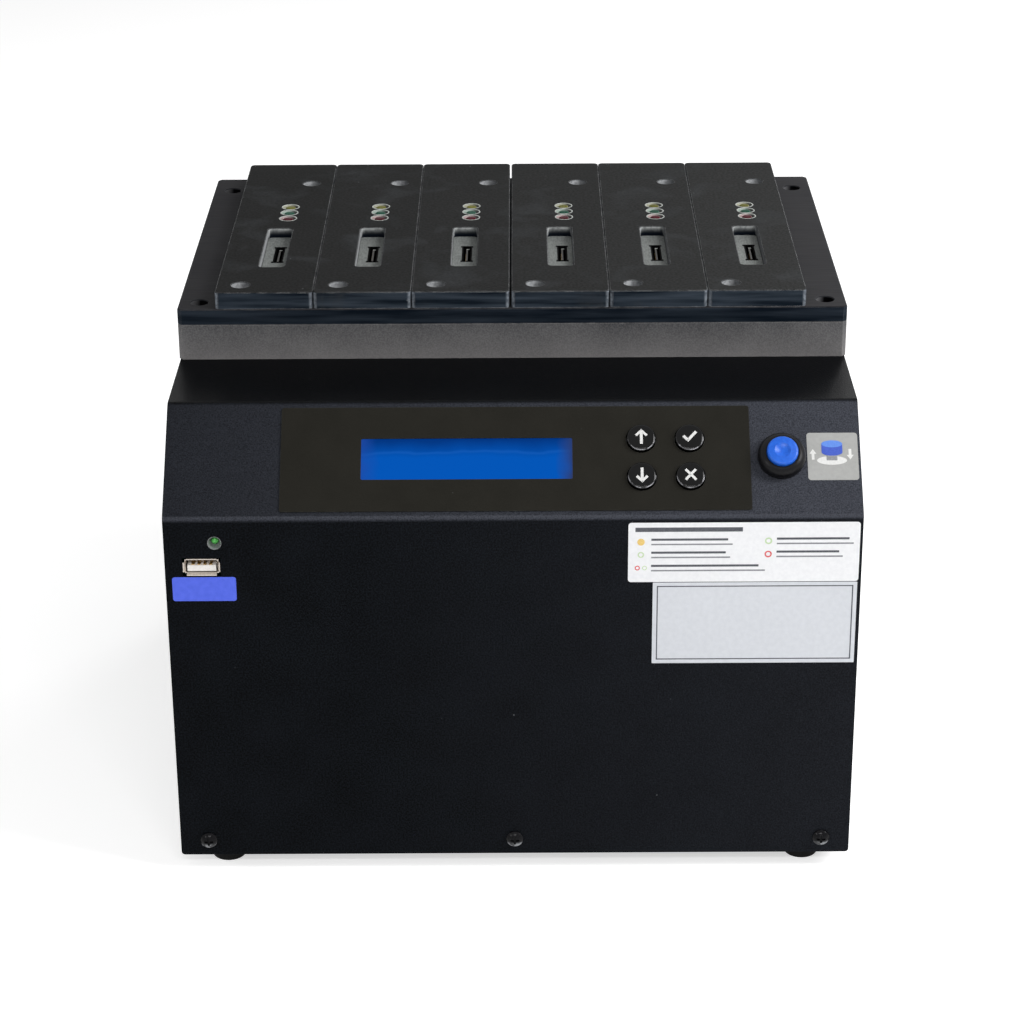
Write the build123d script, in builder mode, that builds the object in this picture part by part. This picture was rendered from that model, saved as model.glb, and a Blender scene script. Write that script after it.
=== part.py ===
from build123d import *
from math import hypot, sqrt
import os

# Bench-top hard drive duplicator, in millimetres.
# +X is right, +Y is back, +Z is up, and the front faces -Y.
# The origin lies on the table, under the middle of the case.

# Case: a folded cover over a folded tub
case_width = 270.0
case_depth = 276.0
front_height = 148.5
slope_run = 36.1
slope_rise = 33.8
sheet = 1.2
bend_radius = 4.0
cover_gap = 0.2
cover_corner = 1.5
rear_lip = 18.0
tub_inset = 0.4
tub_edge = 0.8
front_flange = 14.0
side_flange = 17.0
side_flange_start = 12.0
vent_count = 9
vent_pitch = 9.0
vent_width = 3.0
vent_length = 42.0
vent_height = 62.0
vent_from_rear = 84.0

# Pan-head screws of the case, the feet and the fan
pan_head_radius = 3.35
pan_head_height = 2.4
pan_head_rim = 0.8
pan_shank_radius = 1.7
pan_length = 7.0
cross_length = 3.6
cross_width = 0.8
cross_depth = 1.2
screw_gap = 0.15
front_screw_inset = 11.4
front_screw_height = 6.9
rear_screw_drop = 9.5

# Socket-head screws of the deck
cap_head_radius = 3.5
cap_head_height = 2.4
cap_shank_radius = 2.0
hex_across = 3.0
hex_depth = 1.3

# Feet
foot_height = 7.0
foot_radius = 7.35
foot_taper = 5.0
foot_round = 0.8
foot_recess_depth = 3.4
foot_recess_gap = 0.8
foot_inset_x = 18.0
foot_inset_y = 13.5

# Deck: frame bar, plate and a row of port blocks
deck_overhang = 0.5
deck_setback = 84.5
deck_back_margin = 12.5
deck_frame_height = 15.0
deck_side_wall = 16.6
deck_end_wall = 12.0
deck_ledge = 4.0
deck_corner = 1.6
deck_edge = 0.4
plate_thickness = 6.4
deck_screw_side = 8.3
deck_screw_front = 9.0
deck_screw_back = 17.5
deck_bore_radius = 3.6
deck_bore_depth = 4.8
deck_screw_tail = 3.0

port_count = 6
block_margin = 16.3
block_gap = 0.12
block_split = 0.29
block_row_shift = -0.65
block_setback = 0.5
block_thickness = 7.0
block_corner = 2.0
block_edge = 0.3
block_screw_offset = 10.0
block_screw_front = 10.0
block_screw_back = 30.0
block_bore_radius = 3.75
block_bore_depth = 5.2
block_screw_grip = 5.5

# Slot, liner and connector of one port
slot_width = 10.5
slot_length_share = 0.288
slot_offset = 0.8
slot_front_share = 0.182
slot_corner = 2.0
slot_edge = 0.3
slot_depth = 4.2
liner_gap = 0.1
connector_width = 4.0
connector_length = 20.8
connector_offset = 1.7
connector_shift = 2.3
connector_ear_width = 5.1
connector_ear_length = 1.8
connector_wall = 0.5
connector_depth = 6.0
connector_gap = 0.15
tongue_width = 0.8
tongue_length = 15.4
tongue_foot = 0.7
tongue_drop = 0.5

# Lamps of one port
lamp_offset = 3.0
lamp_front_share = 0.547
lamp_pitch = 8.1
lamp_hole_radius = 3.92
sleeve_gap = 0.05
sleeve_drop = 0.25
sleeve_rim = 0.3
sleeve_cone = 2.4
lamp_radius = 2.35
lamp_round = 0.9
lamp_base_radius = 2.7
lamp_base_height = 1.0
lamp_drop = 0.1
lead_size = 0.5
lead_pitch = 2.54
lead_hole_radius = 2.2

# Circuit boards
board_thickness = 1.6
backplane_side_gap = 3.0
backplane_border = 9.0
header_width = 52.0
header_length = 8.0
header_height = 7.0
ribbon_width = 48.0
ribbon_thickness = 0.9
ribbon_bend = 14.0
ribbon_shift_x = -3.0
ribbon_shift_y = -16.0
ribbon_knee_low = 60.0
ribbon_knee_high = 45.0

# Control panel on the slope
overlay_width = 182.2
overlay_margin = 2.63
overlay_thickness = 0.5
overlay_corner = 1.0
overlay_to_button = 12.0
board_drop = 8.3
panel_stud_radius = 1.5

lcd_window_width = 82.0
lcd_window_height = 17.5
lcd_window_corner = 0.6
lcd_from_keys = 77.2
lcd_board_width = 116.0
lcd_board_height = 37.0
lcd_frame_width = 97.0
lcd_frame_height = 27.0
lcd_frame_gap = 0.5
lcd_recess = 0.3
lcd_glass_border = 2.2
lcd_glass_thickness = 2.0
lcd_glass_gap = 0.1
lcd_stud_inset = 3.5

key_pitch_x = 18.8
key_pitch_y = 16.1
key_from_overlay_edge = 32.8
key_radius = 5.65
key_height = 2.3
key_round = 1.1
key_crown = 0.25
key_overlay_gap = 0.3
key_sheet_gap = 0.55
key_flange = 0.9
key_flange_lip = 1.2
key_play = 0.2
key_travel = 0.8
key_slack = 0.5
key_stem_radius = 3.3
key_stem_gap = 0.3
switch_size = 12.0
switch_height = 3.8
switch_floor = 0.6
key_board_margin = 8.6
key_stud_spread = 24.0

# Blue push button
button_from_edge = 30.8
button_bezel_radius = 9.17
button_bezel_height = 5.4
button_bezel_rim = 0.9
button_bezel_top_radius = 6.95
button_bezel_bulge = 0.7
button_bore_radius = 6.3
button_barrel_radius = 7.9
button_barrel_length = 24.0
button_barrel_floor = 9.0
button_panel_gap = 0.2
button_gap = 0.2
button_height = 7.1
button_round = 0.9
button_dish_radius = 3.1
button_dish_depth = 0.75
button_dish_lift = 0.2
button_travel = 3.0
button_slack = 1.5
button_nut_radius = 11.0
button_nut_height = 3.0
terminal_width = 2.8
terminal_thickness = 0.8
terminal_length = 7.0
terminal_pitch = 8.0

# USB socket and lamp on the front
usb_from_edge = 14.3
usb_drop = 20.3
usb_width = 13.1
usb_height = 5.7
usb_lip_width = 14.4
usb_lip_height = 7.15
usb_wall = 0.35
usb_flare = 0.8
usb_proud = 0.3
usb_lip_run = 11.6
usb_lip_rise = 4.0
usb_panel_gap = 0.25
usb_tongue_width = 11.1
usb_tongue_height = 2.4
usb_tongue_drop = 0.85
usb_tongue_setback = 0.9
usb_block_depth = 5.0
usb_block_gap = 0.05
usb_contact_pitch = 2.3
usb_contact_width = 1.2
usb_contact_height = 0.25
usb_contact_inset = 0.6
io_depth = 14.0
io_board_width = 24.0
io_board_height = 34.0
io_board_shift = 1.2
io_board_drop = 2.0
io_stud_radius = 2.0
io_stud_pitch = 18.0
io_stud_drop = 12.0

status_from_edge = 19.7
status_drop = 10.2
status_hole_radius = 2.78
status_holder_gap = 0.06
status_lamp_radius = 1.5
status_lamp_gap = 0.1
status_lamp_sunk = 1.7
status_lamp_length = 5.0
status_cone_radius = 2.55
status_cone_depth = 2.7
status_lead_pitch = 1.6

# Controller and power supply
main_board_length = 180.0
main_board_from_side = 15.5
main_board_from_front = 28.0
main_board_supply_gap = 11.5
standoff_radius = 3.2
standoff_height = 8.0
standoff_inset = 6.0
chip_size = 35.0
chip_height = 3.0
chip_x = 28.0
chip_y = 40.0
sink_size = 42.0
sink_base = 4.0
sink_height = 20.0
sink_fin_count = 9
sink_fin_thickness = 1.6

supply_width = 98.0
supply_length = 150.0
supply_height = 38.0
supply_from_side = 10.0
supply_from_rear = 23.0
supply_edge = 1.5
supply_terminal_width = 70.0
supply_terminal_length = 14.0
supply_terminal_height = 16.0

# Mains inlet with rocker switch on the rear wall
inlet_from_side = 57.0
inlet_height = 74.0
inlet_flange_width = 60.0
inlet_flange_height = 30.0
inlet_flange = 2.0
inlet_flange_corner = 3.0
inlet_body_width = 55.0
inlet_body_height = 25.0
inlet_body_depth = 24.0
inlet_gap = 0.25
socket_offset = -10.0
socket_width = 24.3
socket_height = 16.8
socket_bevel = 4.0
socket_depth = 17.0
pin_width = 2.0
pin_height = 4.0
pin_pitch = 14.0
pin_rise = 2.0
pin_setback = 5.2
pin_tail = 7.0
pin_gap = 0.05
rocker_offset = 16.5
rocker_width = 12.6
rocker_radius = 9.6
rocker_half_height = 9.3
rocker_notch = 1.0
rocker_root = 6.0
rocker_gap = 0.3
rocker_pivot_depth = 2.3
rocker_pin_radius = 1.3
rocker_pin_length = 1.5
rocker_pin_gap = 0.05
rocker_tilt = 9.0

# Exhaust fan on the rear wall
fan_from_side = 73.0
fan_height = 100.0
fan_size = 80.0
fan_depth = 25.0
fan_corner = 4.0
fan_hole_pitch = 71.5
fan_bore_radius = 38.0
fan_strut_width = 5.0
fan_strut_depth = 4.0
fan_strut_root = 1.0
fan_hub_radius = 15.0
fan_hub_gap = 0.6
fan_back_gap = 1.0
fan_tip_gap = 1.2
fan_shaft_radius = 1.5
fan_shaft_gap = 0.05
fan_blade_count = 7
fan_blade_root_chord = 18.0
fan_blade_tip_chord = 22.0
fan_blade_thickness = 1.6
fan_blade_root_pitch = 48.0
fan_blade_tip_pitch = 30.0
guard_thickness = 1.0
guard_size = 82.0
guard_corner = 6.0
guard_ring_width = 2.2
guard_ring_count = 5
guard_arm_width = 3.2

# Levels and planes that the pieces share
half_width = case_width / 2
half_depth = case_depth / 2
z_base = foot_height
z_bend = z_base + front_height
z_top = z_bend + slope_rise
z_deck = z_top + deck_frame_height
z_plate = z_deck + plate_thickness
z_block = z_plate + block_thickness
slope_length = hypot(slope_run, slope_rise)
tub_offset = sheet + cover_gap
tub_half_width = half_width - tub_inset
rear_wall_y = half_depth - tub_offset

front = Plane(origin=(0, -half_depth, z_base), x_dir=(1, 0, 0), z_dir=(0, -1, 0))
slope = Plane(
    origin=(0, -half_depth + slope_run / 2, z_bend + slope_rise / 2),
    x_dir=(1, 0, 0),
    z_dir=(0, -slope_rise, slope_run),
)
rear = Plane(origin=(0, rear_wall_y, z_base), x_dir=(-1, 0, 0), z_dir=(0, 1, 0))
rear_lip_face = Plane(origin=(0, half_depth, z_top), x_dir=(-1, 0, 0), z_dir=(0, 1, 0))


def at(plane, x, y, height=0.0):
    """The same plane, with its origin moved to a local point."""
    return Plane(origin=plane.from_local_coords((x, y, height)), x_dir=plane.x_dir, z_dir=plane.z_dir)


def section(plane):
    """Half-section of a turned piece: x is the radius, y runs out along the plane's normal."""
    return Plane(origin=plane.origin, x_dir=plane.x_dir, z_dir=-plane.y_dir)


def turning_axis(plane):
    """Axis of a turned piece that stands on the plane."""
    return Axis(plane.origin, plane.z_dir)


def write(piece, name):
    """Label a finished piece and write its own file."""
    piece.part.label = name
    export_step(piece.part, f"parts/{name}.step")


os.makedirs("parts", exist_ok=True)

# Places that more than one piece takes its holes from
screw_columns = [-half_width + front_screw_inset, 0, half_width - front_screw_inset]
front_screw_points = [(x, front_screw_height) for x in screw_columns]
rear_screw_points = [(x, -rear_screw_drop) for x in screw_columns]
foot_x = half_width - foot_inset_x
foot_y = half_depth - foot_inset_y
foot_points = {
    "foot_front_left": (-foot_x, -foot_y),
    "foot_front_right": (foot_x, -foot_y),
    "foot_rear_left": (-foot_x, foot_y),
    "foot_rear_right": (foot_x, foot_y),
}

deck_width = case_width + 2 * deck_overhang
deck_length = case_depth - deck_setback - deck_back_margin
deck_front_y = -half_depth + deck_setback
deck_back_y = deck_front_y + deck_length
deck_mid_y = (deck_front_y + deck_back_y) / 2
deck_screw_x = deck_width / 2 - deck_screw_side
deck_screw_points = [
    (x, y)
    for x in (-deck_screw_x, deck_screw_x)
    for y in (deck_front_y + deck_screw_front, deck_back_y - deck_screw_back)
]
deck_inner_width = deck_width - 2 * deck_side_wall
deck_inner_length = deck_length - 2 * deck_end_wall

block_pitch = (deck_width - 2 * block_margin) / port_count
block_width = block_pitch - block_gap
block_length = deck_length - 2 * block_setback
row_steps = [i - (port_count - 1) / 2 for i in range(port_count)]
block_starts = [i * block_pitch + (block_split if i > 0 else -block_split) for i in row_steps]
block_columns = [start + block_row_shift for start in block_starts]
block_screw_points = [
    (-block_screw_offset, deck_front_y + block_screw_front),
    (block_screw_offset, deck_back_y - block_screw_back),
]
slot_length = deck_length * slot_length_share
slot_mid_y = deck_front_y + deck_length * slot_front_share + slot_length / 2
connector_mid_y = slot_mid_y + connector_shift
liner_thickness = block_thickness - slot_depth
lamp_ys = [deck_front_y + deck_length * lamp_front_share + i * lamp_pitch for i in range(3)]
lamp_points = [(lamp_offset, y) for y in lamp_ys]

button_x = half_width - button_from_edge
overlay_right = button_x - overlay_to_button
overlay_x = overlay_right - overlay_width / 2
overlay_height = slope_length - 2 * overlay_margin
key_x = overlay_right - key_from_overlay_edge
lcd_x = key_x - lcd_from_keys
key_points = {
    "key_up": (key_x - key_pitch_x / 2, key_pitch_y / 2),
    "key_ok": (key_x + key_pitch_x / 2, key_pitch_y / 2),
    "key_down": (key_x - key_pitch_x / 2, -key_pitch_y / 2),
    "key_cancel": (key_x + key_pitch_x / 2, -key_pitch_y / 2),
}
lcd_stud_x = lcd_board_width / 2 - lcd_stud_inset
lcd_stud_y = lcd_board_height / 2 - lcd_stud_inset
panel_stud_points = [(lcd_x + sx * lcd_stud_x, sy * lcd_stud_y) for sx in (-1, 1) for sy in (-1, 1)]
panel_stud_points += [(key_x, sy * key_stud_spread / 2) for sy in (-1, 1)]

usb_x = -half_width + usb_from_edge
usb_z = front_height - usb_drop
status_x = -half_width + status_from_edge
status_z = front_height - status_drop
io_board_x = usb_x + io_board_shift
io_board_z = usb_z - io_board_drop
io_stud_points = [(io_board_x + sx * io_stud_pitch / 2, usb_z - io_stud_drop) for sx in (-1, 1)]

inlet_x = -half_width + inlet_from_side
fan_x = half_width - fan_from_side
fan_points = [
    (fan_x + sx * fan_hole_pitch / 2, fan_height + sy * fan_hole_pitch / 2)
    for sx in (-1, 1)
    for sy in (-1, 1)
]
main_board_width = (
    case_width - main_board_from_side - main_board_supply_gap - supply_width - supply_from_side
)
main_board_x = -half_width + main_board_from_side + main_board_width / 2
main_board_y = -half_depth + main_board_from_front + main_board_length / 2
ribbon_x = main_board_x + ribbon_shift_x
ribbon_lower_y = main_board_y + ribbon_shift_y
supply_x = half_width - supply_from_side - supply_width / 2
supply_y = half_depth - supply_from_rear - supply_length / 2
standoff_points = [
    (
        main_board_x + sx * (main_board_width / 2 - standoff_inset),
        main_board_y + sy * (main_board_length / 2 - standoff_inset),
    )
    for sx in (-1, 1)
    for sy in (-1, 1)
]

# Cover: front, slope, top and rear lip folded from one sheet
with BuildPart() as wrap_cover:
    with BuildSketch(Plane.YZ):
        with BuildLine():
            FilletPolyline(
                (-half_depth, z_base),
                (-half_depth, z_bend),
                (-half_depth + slope_run, z_top),
                (half_depth, z_top),
                (half_depth, z_top - rear_lip),
                radius=bend_radius,
            )
            offset(amount=sheet, side=Side.RIGHT)
        make_face()
    extrude(amount=half_width, both=True)
    bottom_edges = wrap_cover.edges().filter_by(Axis.Y).group_by(Axis.Z)[0]
    fillet(bottom_edges, radius=cover_corner)
    with BuildSketch(front):
        with Locations(*front_screw_points):
            Circle(pan_shank_radius + screw_gap)
        with Locations((usb_x, usb_z)):
            Rectangle(usb_lip_width + 2 * usb_panel_gap, usb_lip_height + 2 * usb_panel_gap)
        with Locations((status_x, status_z)):
            Circle(status_hole_radius)
    extrude(amount=-2 * sheet, mode=Mode.SUBTRACT)
    with BuildSketch(slope):
        with Locations((lcd_x, 0)):
            Rectangle(lcd_frame_width + 2 * lcd_frame_gap, lcd_frame_height + 2 * lcd_frame_gap)
        with Locations(*key_points.values()):
            Circle(key_radius + key_sheet_gap)
        with Locations((button_x, 0)):
            Circle(button_barrel_radius + button_panel_gap)
    extrude(amount=-2 * sheet, mode=Mode.SUBTRACT)
    with BuildSketch(Plane.XY.offset(z_top)):
        with Locations((0, deck_mid_y)):
            Rectangle(deck_inner_width - 2 * deck_ledge, deck_inner_length - 2 * deck_ledge)
        with Locations(*deck_screw_points):
            Circle(cap_shank_radius + screw_gap)
    extrude(amount=-2 * sheet, mode=Mode.SUBTRACT)
    with BuildSketch(rear_lip_face):
        with Locations(*rear_screw_points):
            Circle(pan_shank_radius + screw_gap)
    extrude(amount=-2 * sheet, mode=Mode.SUBTRACT)
    with BuildSketch(slope.offset(-sheet)):
        with Locations(*panel_stud_points):
            Circle(panel_stud_radius)
    extrude(amount=-(board_drop - sheet))
    with BuildSketch(front.offset(-sheet)):
        with Locations(*io_stud_points):
            Circle(io_stud_radius)
    extrude(amount=-(io_depth - sheet))
write(wrap_cover, "wrap_cover")

# Tub: bottom, sides, rear wall and flanges folded from one sheet
case_outline = [
    (-half_depth, z_base - tub_offset),
    (-half_depth, z_bend),
    (-half_depth + slope_run, z_top),
    (half_depth, z_top),
    (half_depth, z_base - tub_offset),
]
with BuildPart() as chassis_tub:
    with BuildSketch(Plane.YZ):
        with BuildLine():
            FilletPolyline(*case_outline, radius=bend_radius, close=True)
        make_face()
        offset(amount=-tub_offset)
    extrude(amount=tub_half_width, both=True)
    side_faces = chassis_tub.faces().sort_by(Axis.X)
    fillet(side_faces[0].edges() + side_faces[-1].edges(), radius=tub_edge)
    with BuildSketch(Plane.YZ):
        with BuildLine():
            FilletPolyline(*case_outline, radius=bend_radius, close=True)
        make_face()
        offset(amount=-tub_offset - sheet)
    extrude(amount=tub_half_width - sheet, both=True, mode=Mode.SUBTRACT)
    with BuildSketch(Plane.YZ):
        with Locations((-half_depth, z_base + front_flange)):
            Rectangle(case_depth - tub_offset - sheet, case_depth, align=Align.MIN)
    extrude(amount=tub_half_width - sheet, both=True, mode=Mode.SUBTRACT)
    flange_start_y = -half_depth + slope_run + side_flange_start
    with BuildSketch(Plane.XY.offset(z_top - tub_offset)):
        with Locations((0, flange_start_y)):
            Rectangle(
                2 * tub_half_width - sheet,
                rear_wall_y - bend_radius - flange_start_y,
                align=(Align.CENTER, Align.MIN),
            )
            Rectangle(
                2 * (tub_half_width - sheet - side_flange),
                case_depth,
                align=(Align.CENTER, Align.MIN),
                mode=Mode.SUBTRACT,
            )
        with Locations(*deck_screw_points):
            Circle(cap_shank_radius + screw_gap, mode=Mode.SUBTRACT)
    extrude(amount=-sheet)
    with BuildSketch(front.offset(-sheet)):
        with Locations(*front_screw_points):
            Circle(pan_shank_radius + screw_gap)
    extrude(amount=-2 * sheet, mode=Mode.SUBTRACT)
    with BuildSketch(rear_lip_face.offset(-sheet)):
        with Locations(*rear_screw_points):
            Circle(pan_shank_radius + screw_gap)
    extrude(amount=-2 * sheet, mode=Mode.SUBTRACT)
    with BuildSketch(rear):
        with Locations((fan_x, fan_height)):
            Circle(fan_bore_radius)
        with Locations(*fan_points):
            Circle(pan_shank_radius + screw_gap)
        with Locations((inlet_x, inlet_height)):
            Rectangle(inlet_body_width + 2 * inlet_gap, inlet_body_height + 2 * inlet_gap)
    extrude(amount=-2 * sheet, mode=Mode.SUBTRACT)
    with BuildSketch(Plane.XY.offset(z_base)):
        with Locations(*foot_points.values()):
            Circle(pan_shank_radius + screw_gap)
    extrude(amount=2 * sheet, mode=Mode.SUBTRACT)
    with BuildSketch(Plane.YZ):
        with Locations((half_depth - vent_from_rear, z_base + vent_height)):
            with GridLocations(vent_pitch, 0, vent_count, 1):
                SlotOverall(vent_length, vent_width, rotation=90)
    extrude(amount=half_width, both=True, mode=Mode.SUBTRACT)
write(chassis_tub, "chassis_tub")

# Pan-head screw with a cross recess, standing on the XY plane
with BuildPart() as pan_screw:
    with BuildSketch(section(Plane.XY)):
        with BuildLine():
            Polyline(
                (0, pan_head_height),
                (0, -pan_length),
                (pan_shank_radius, -pan_length),
                (pan_shank_radius, 0),
                (pan_head_radius, 0),
                (pan_head_radius, pan_head_rim),
            )
            TangentArc(
                (0, pan_head_height),
                (pan_head_radius, pan_head_rim),
                tangent=(1, 0),
            )
        make_face()
    revolve(axis=Axis.Z)
    with BuildSketch(Plane.XY.offset(pan_head_height)):
        Rectangle(cross_length, cross_width)
        Rectangle(cross_width, cross_length)
    extrude(amount=-cross_depth, mode=Mode.SUBTRACT)

with BuildPart() as cover_screws:
    with Locations(*[at(front, x, y) for x, y in front_screw_points]):
        add(pan_screw.part)
    with Locations(*[at(rear_lip_face, x, y) for x, y in rear_screw_points]):
        add(pan_screw.part)
write(cover_screws, "cover_screws")

# Feet: tapered rubber, with the screw sunk in a recess from below
foot_recess_radius = pan_head_radius + foot_recess_gap
for name, (x, y) in foot_points.items():
    with BuildPart() as foot:
        with BuildSketch(Plane((x, y, z_base))):
            Circle(foot_radius)
        extrude(amount=-foot_height, taper=foot_taper)
        fillet(foot.edges().group_by(Axis.Z)[0], radius=foot_round)
        with BuildSketch(Plane((x, y, 0))):
            Circle(foot_recess_radius)
        extrude(amount=foot_recess_depth, mode=Mode.SUBTRACT)
        with BuildSketch(Plane((x, y, 0))):
            Circle(pan_shank_radius + screw_gap)
        extrude(amount=foot_height, mode=Mode.SUBTRACT)
    write(foot, name)

foot_screw_seats = [
    Plane(origin=(x, y, foot_recess_depth), x_dir=(1, 0, 0), z_dir=(0, 0, -1))
    for x, y in foot_points.values()
]
with BuildPart() as foot_screws:
    with Locations(*foot_screw_seats):
        add(pan_screw.part)
write(foot_screws, "foot_screws")

# Deck frame: a bar all round, open in the middle for the backplane
with BuildPart() as deck_frame:
    with BuildSketch(Plane.XY.offset(z_top)) as deck_outline:
        with Locations((0, deck_mid_y)):
            Rectangle(deck_width, deck_length)
        chamfer(deck_outline.vertices(), length=deck_corner)
    extrude(amount=deck_frame_height)
    chamfer(deck_frame.faces().sort_by(Axis.Z)[-1].edges(), length=deck_edge)
    with BuildSketch(Plane.XY.offset(z_top)):
        with Locations((0, deck_mid_y)):
            Rectangle(deck_inner_width, deck_inner_length)
        with Locations(*deck_screw_points):
            Circle(cap_shank_radius + screw_gap)
    extrude(amount=deck_frame_height, mode=Mode.SUBTRACT)
write(deck_frame, "deck_frame")

# Deck plate: counterbored corners, and ways through for connectors, lamp leads and block screws
connector_places = [(x + connector_offset, connector_mid_y) for x in block_columns]
connector_ear_reach = (connector_length - connector_ear_length) / 2
with BuildPart() as deck_plate:
    with BuildSketch(Plane.XY.offset(z_deck)) as plate_outline:
        with Locations((0, deck_mid_y)):
            Rectangle(deck_width, deck_length)
        chamfer(plate_outline.vertices(), length=deck_corner)
    extrude(amount=plate_thickness)
    with BuildSketch(Plane.XY.offset(z_plate)):
        with Locations(*deck_screw_points):
            Circle(deck_bore_radius)
    extrude(amount=-deck_bore_depth, mode=Mode.SUBTRACT)
    chamfer(deck_plate.faces().sort_by(Axis.Z)[-1].edges(), length=deck_edge)
    with BuildSketch(Plane.XY.offset(z_deck)):
        with Locations(*deck_screw_points):
            Circle(cap_shank_radius + screw_gap)
        with Locations(*connector_places):
            Rectangle(connector_ear_width + 2 * connector_gap, connector_length + 2 * connector_gap)
        for x in block_columns:
            with Locations(*[(x + px, py) for px, py in block_screw_points]):
                Circle(cap_shank_radius + screw_gap)
            with Locations(*[(x + px, py) for px, py in lamp_points]):
                Circle(lead_hole_radius)
    extrude(amount=plate_thickness, mode=Mode.SUBTRACT)
write(deck_plate, "deck_plate")


def cap_screw(length):
    """A socket-head screw whose head stands on the XY plane."""
    with BuildPart() as screw:
        with BuildSketch():
            Circle(cap_head_radius)
        extrude(amount=cap_head_height)
        chamfer(screw.edges().group_by(Axis.Z)[-1], length=deck_edge)
        with BuildSketch():
            Circle(cap_shank_radius)
        extrude(amount=-length)
        with BuildSketch(Plane.XY.offset(cap_head_height)):
            RegularPolygon(hex_across / 2, 6, major_radius=False)
        extrude(amount=-hex_depth, mode=Mode.SUBTRACT)
    return screw.part


deck_screw_grip = plate_thickness - deck_bore_depth + deck_frame_height + tub_offset + sheet
deck_screw = cap_screw(deck_screw_grip + deck_screw_tail)
block_screw = cap_screw(block_thickness - block_bore_depth + block_screw_grip)

with BuildPart() as deck_screws:
    with Locations(*[(x, y, z_plate - deck_bore_depth) for x, y in deck_screw_points]):
        add(deck_screw)
write(deck_screws, "deck_screws")

with BuildPart() as block_screws:
    for column in block_columns:
        with Locations(*[(column + x, y, z_block - block_bore_depth) for x, y in block_screw_points]):
            add(block_screw)
write(block_screws, "block_screws")

# One port block, at the middle of the row, then a copy in each column
with BuildPart() as port_block_form:
    with BuildSketch(Plane.XY.offset(z_plate)):
        with Locations((0, deck_mid_y)):
            RectangleRounded(block_width, block_length, block_corner)
        with Locations((slot_offset, slot_mid_y)):
            RectangleRounded(slot_width, slot_length, slot_corner, mode=Mode.SUBTRACT)
        with Locations(*block_screw_points):
            Circle(cap_shank_radius + screw_gap, mode=Mode.SUBTRACT)
    extrude(amount=block_thickness)
    with BuildSketch(Plane.XY.offset(z_block)):
        with Locations(*block_screw_points):
            Circle(block_bore_radius)
    extrude(amount=-block_bore_depth, mode=Mode.SUBTRACT)
    block_top = port_block_form.faces().sort_by(Axis.Z)[-1]
    chamfer(block_top.outer_wire().edges(), length=block_edge)
    block_top = port_block_form.faces().sort_by(Axis.Z)[-1]
    chamfer([edge for wire in block_top.inner_wires() for edge in wire.edges()], length=slot_edge)
    with BuildSketch(Plane.XY.offset(z_plate)):
        with Locations(*lamp_points):
            Circle(lamp_hole_radius)
    extrude(amount=block_thickness, mode=Mode.SUBTRACT)

for index, column in enumerate(block_columns, start=1):
    with BuildPart() as port_block:
        with Locations((column, 0, 0)):
            add(port_block_form.part)
    write(port_block, f"port_block_{index}")

# Slot liners: the pale floor of each slot, cut out round its connector
with BuildPart() as slot_liners:
    with BuildSketch(Plane.XY.offset(z_plate)):
        with Locations(*[(x + slot_offset, slot_mid_y) for x in block_columns]):
            RectangleRounded(slot_width - 2 * liner_gap, slot_length - 2 * liner_gap, slot_corner - liner_gap)
        with Locations(*connector_places):
            Rectangle(
                connector_width + 2 * connector_gap,
                connector_length + 2 * connector_gap,
                mode=Mode.SUBTRACT,
            )
            with Locations((0, -connector_ear_reach), (0, connector_ear_reach)):
                Rectangle(
                    connector_ear_width + 2 * connector_gap,
                    connector_ear_length + 2 * connector_gap,
                    mode=Mode.SUBTRACT,
                )
    extrude(amount=liner_thickness)
write(slot_liners, "slot_liners")

# One connector: housing with an ear at each end, and an L-shaped tongue in its well
connector_height = plate_thickness + liner_thickness
with BuildPart() as connector_form:
    with BuildSketch(Plane.XY.offset(z_deck)):
        with Locations((connector_offset, connector_mid_y)):
            Rectangle(connector_width, connector_length)
            with Locations((0, -connector_ear_reach), (0, connector_ear_reach)):
                Rectangle(connector_ear_width, connector_ear_length)
    extrude(amount=connector_height)
    with BuildSketch(Plane.XY.offset(z_deck + connector_height)):
        with Locations((connector_offset, connector_mid_y)):
            Rectangle(connector_width - 2 * connector_wall, connector_length - 2 * connector_wall)
    extrude(amount=-connector_depth, mode=Mode.SUBTRACT)
    with BuildSketch(Plane.XY.offset(z_deck + connector_height - connector_depth)):
        with Locations((connector_offset, connector_mid_y)):
            Rectangle(tongue_width, tongue_length)
            with Locations((tongue_width / 2, (tongue_length - tongue_width) / 2)):
                Rectangle(tongue_foot, tongue_width, align=(Align.MIN, Align.CENTER))
    extrude(amount=connector_depth - tongue_drop)

for index, column in enumerate(block_columns, start=1):
    with BuildPart() as port_connector:
        with Locations((column, 0, 0)):
            add(connector_form.part)
    write(port_connector, f"port_connector_{index}")

# Lamps and their pale sleeves, three to a block
sleeve_radius = lamp_hole_radius - sleeve_gap
sleeve_height = block_thickness - sleeve_drop
with BuildPart() as sleeve_form:
    with BuildSketch(section(Plane.XY)):
        with BuildLine():
            Polyline(
                (lamp_base_radius + sleeve_gap, 0),
                (sleeve_radius, 0),
                (sleeve_radius, sleeve_height),
                (sleeve_radius - sleeve_rim, sleeve_height),
                (lamp_base_radius + sleeve_gap, sleeve_height - sleeve_cone),
                close=True,
            )
        make_face()
    revolve(axis=Axis.Z)

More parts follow.
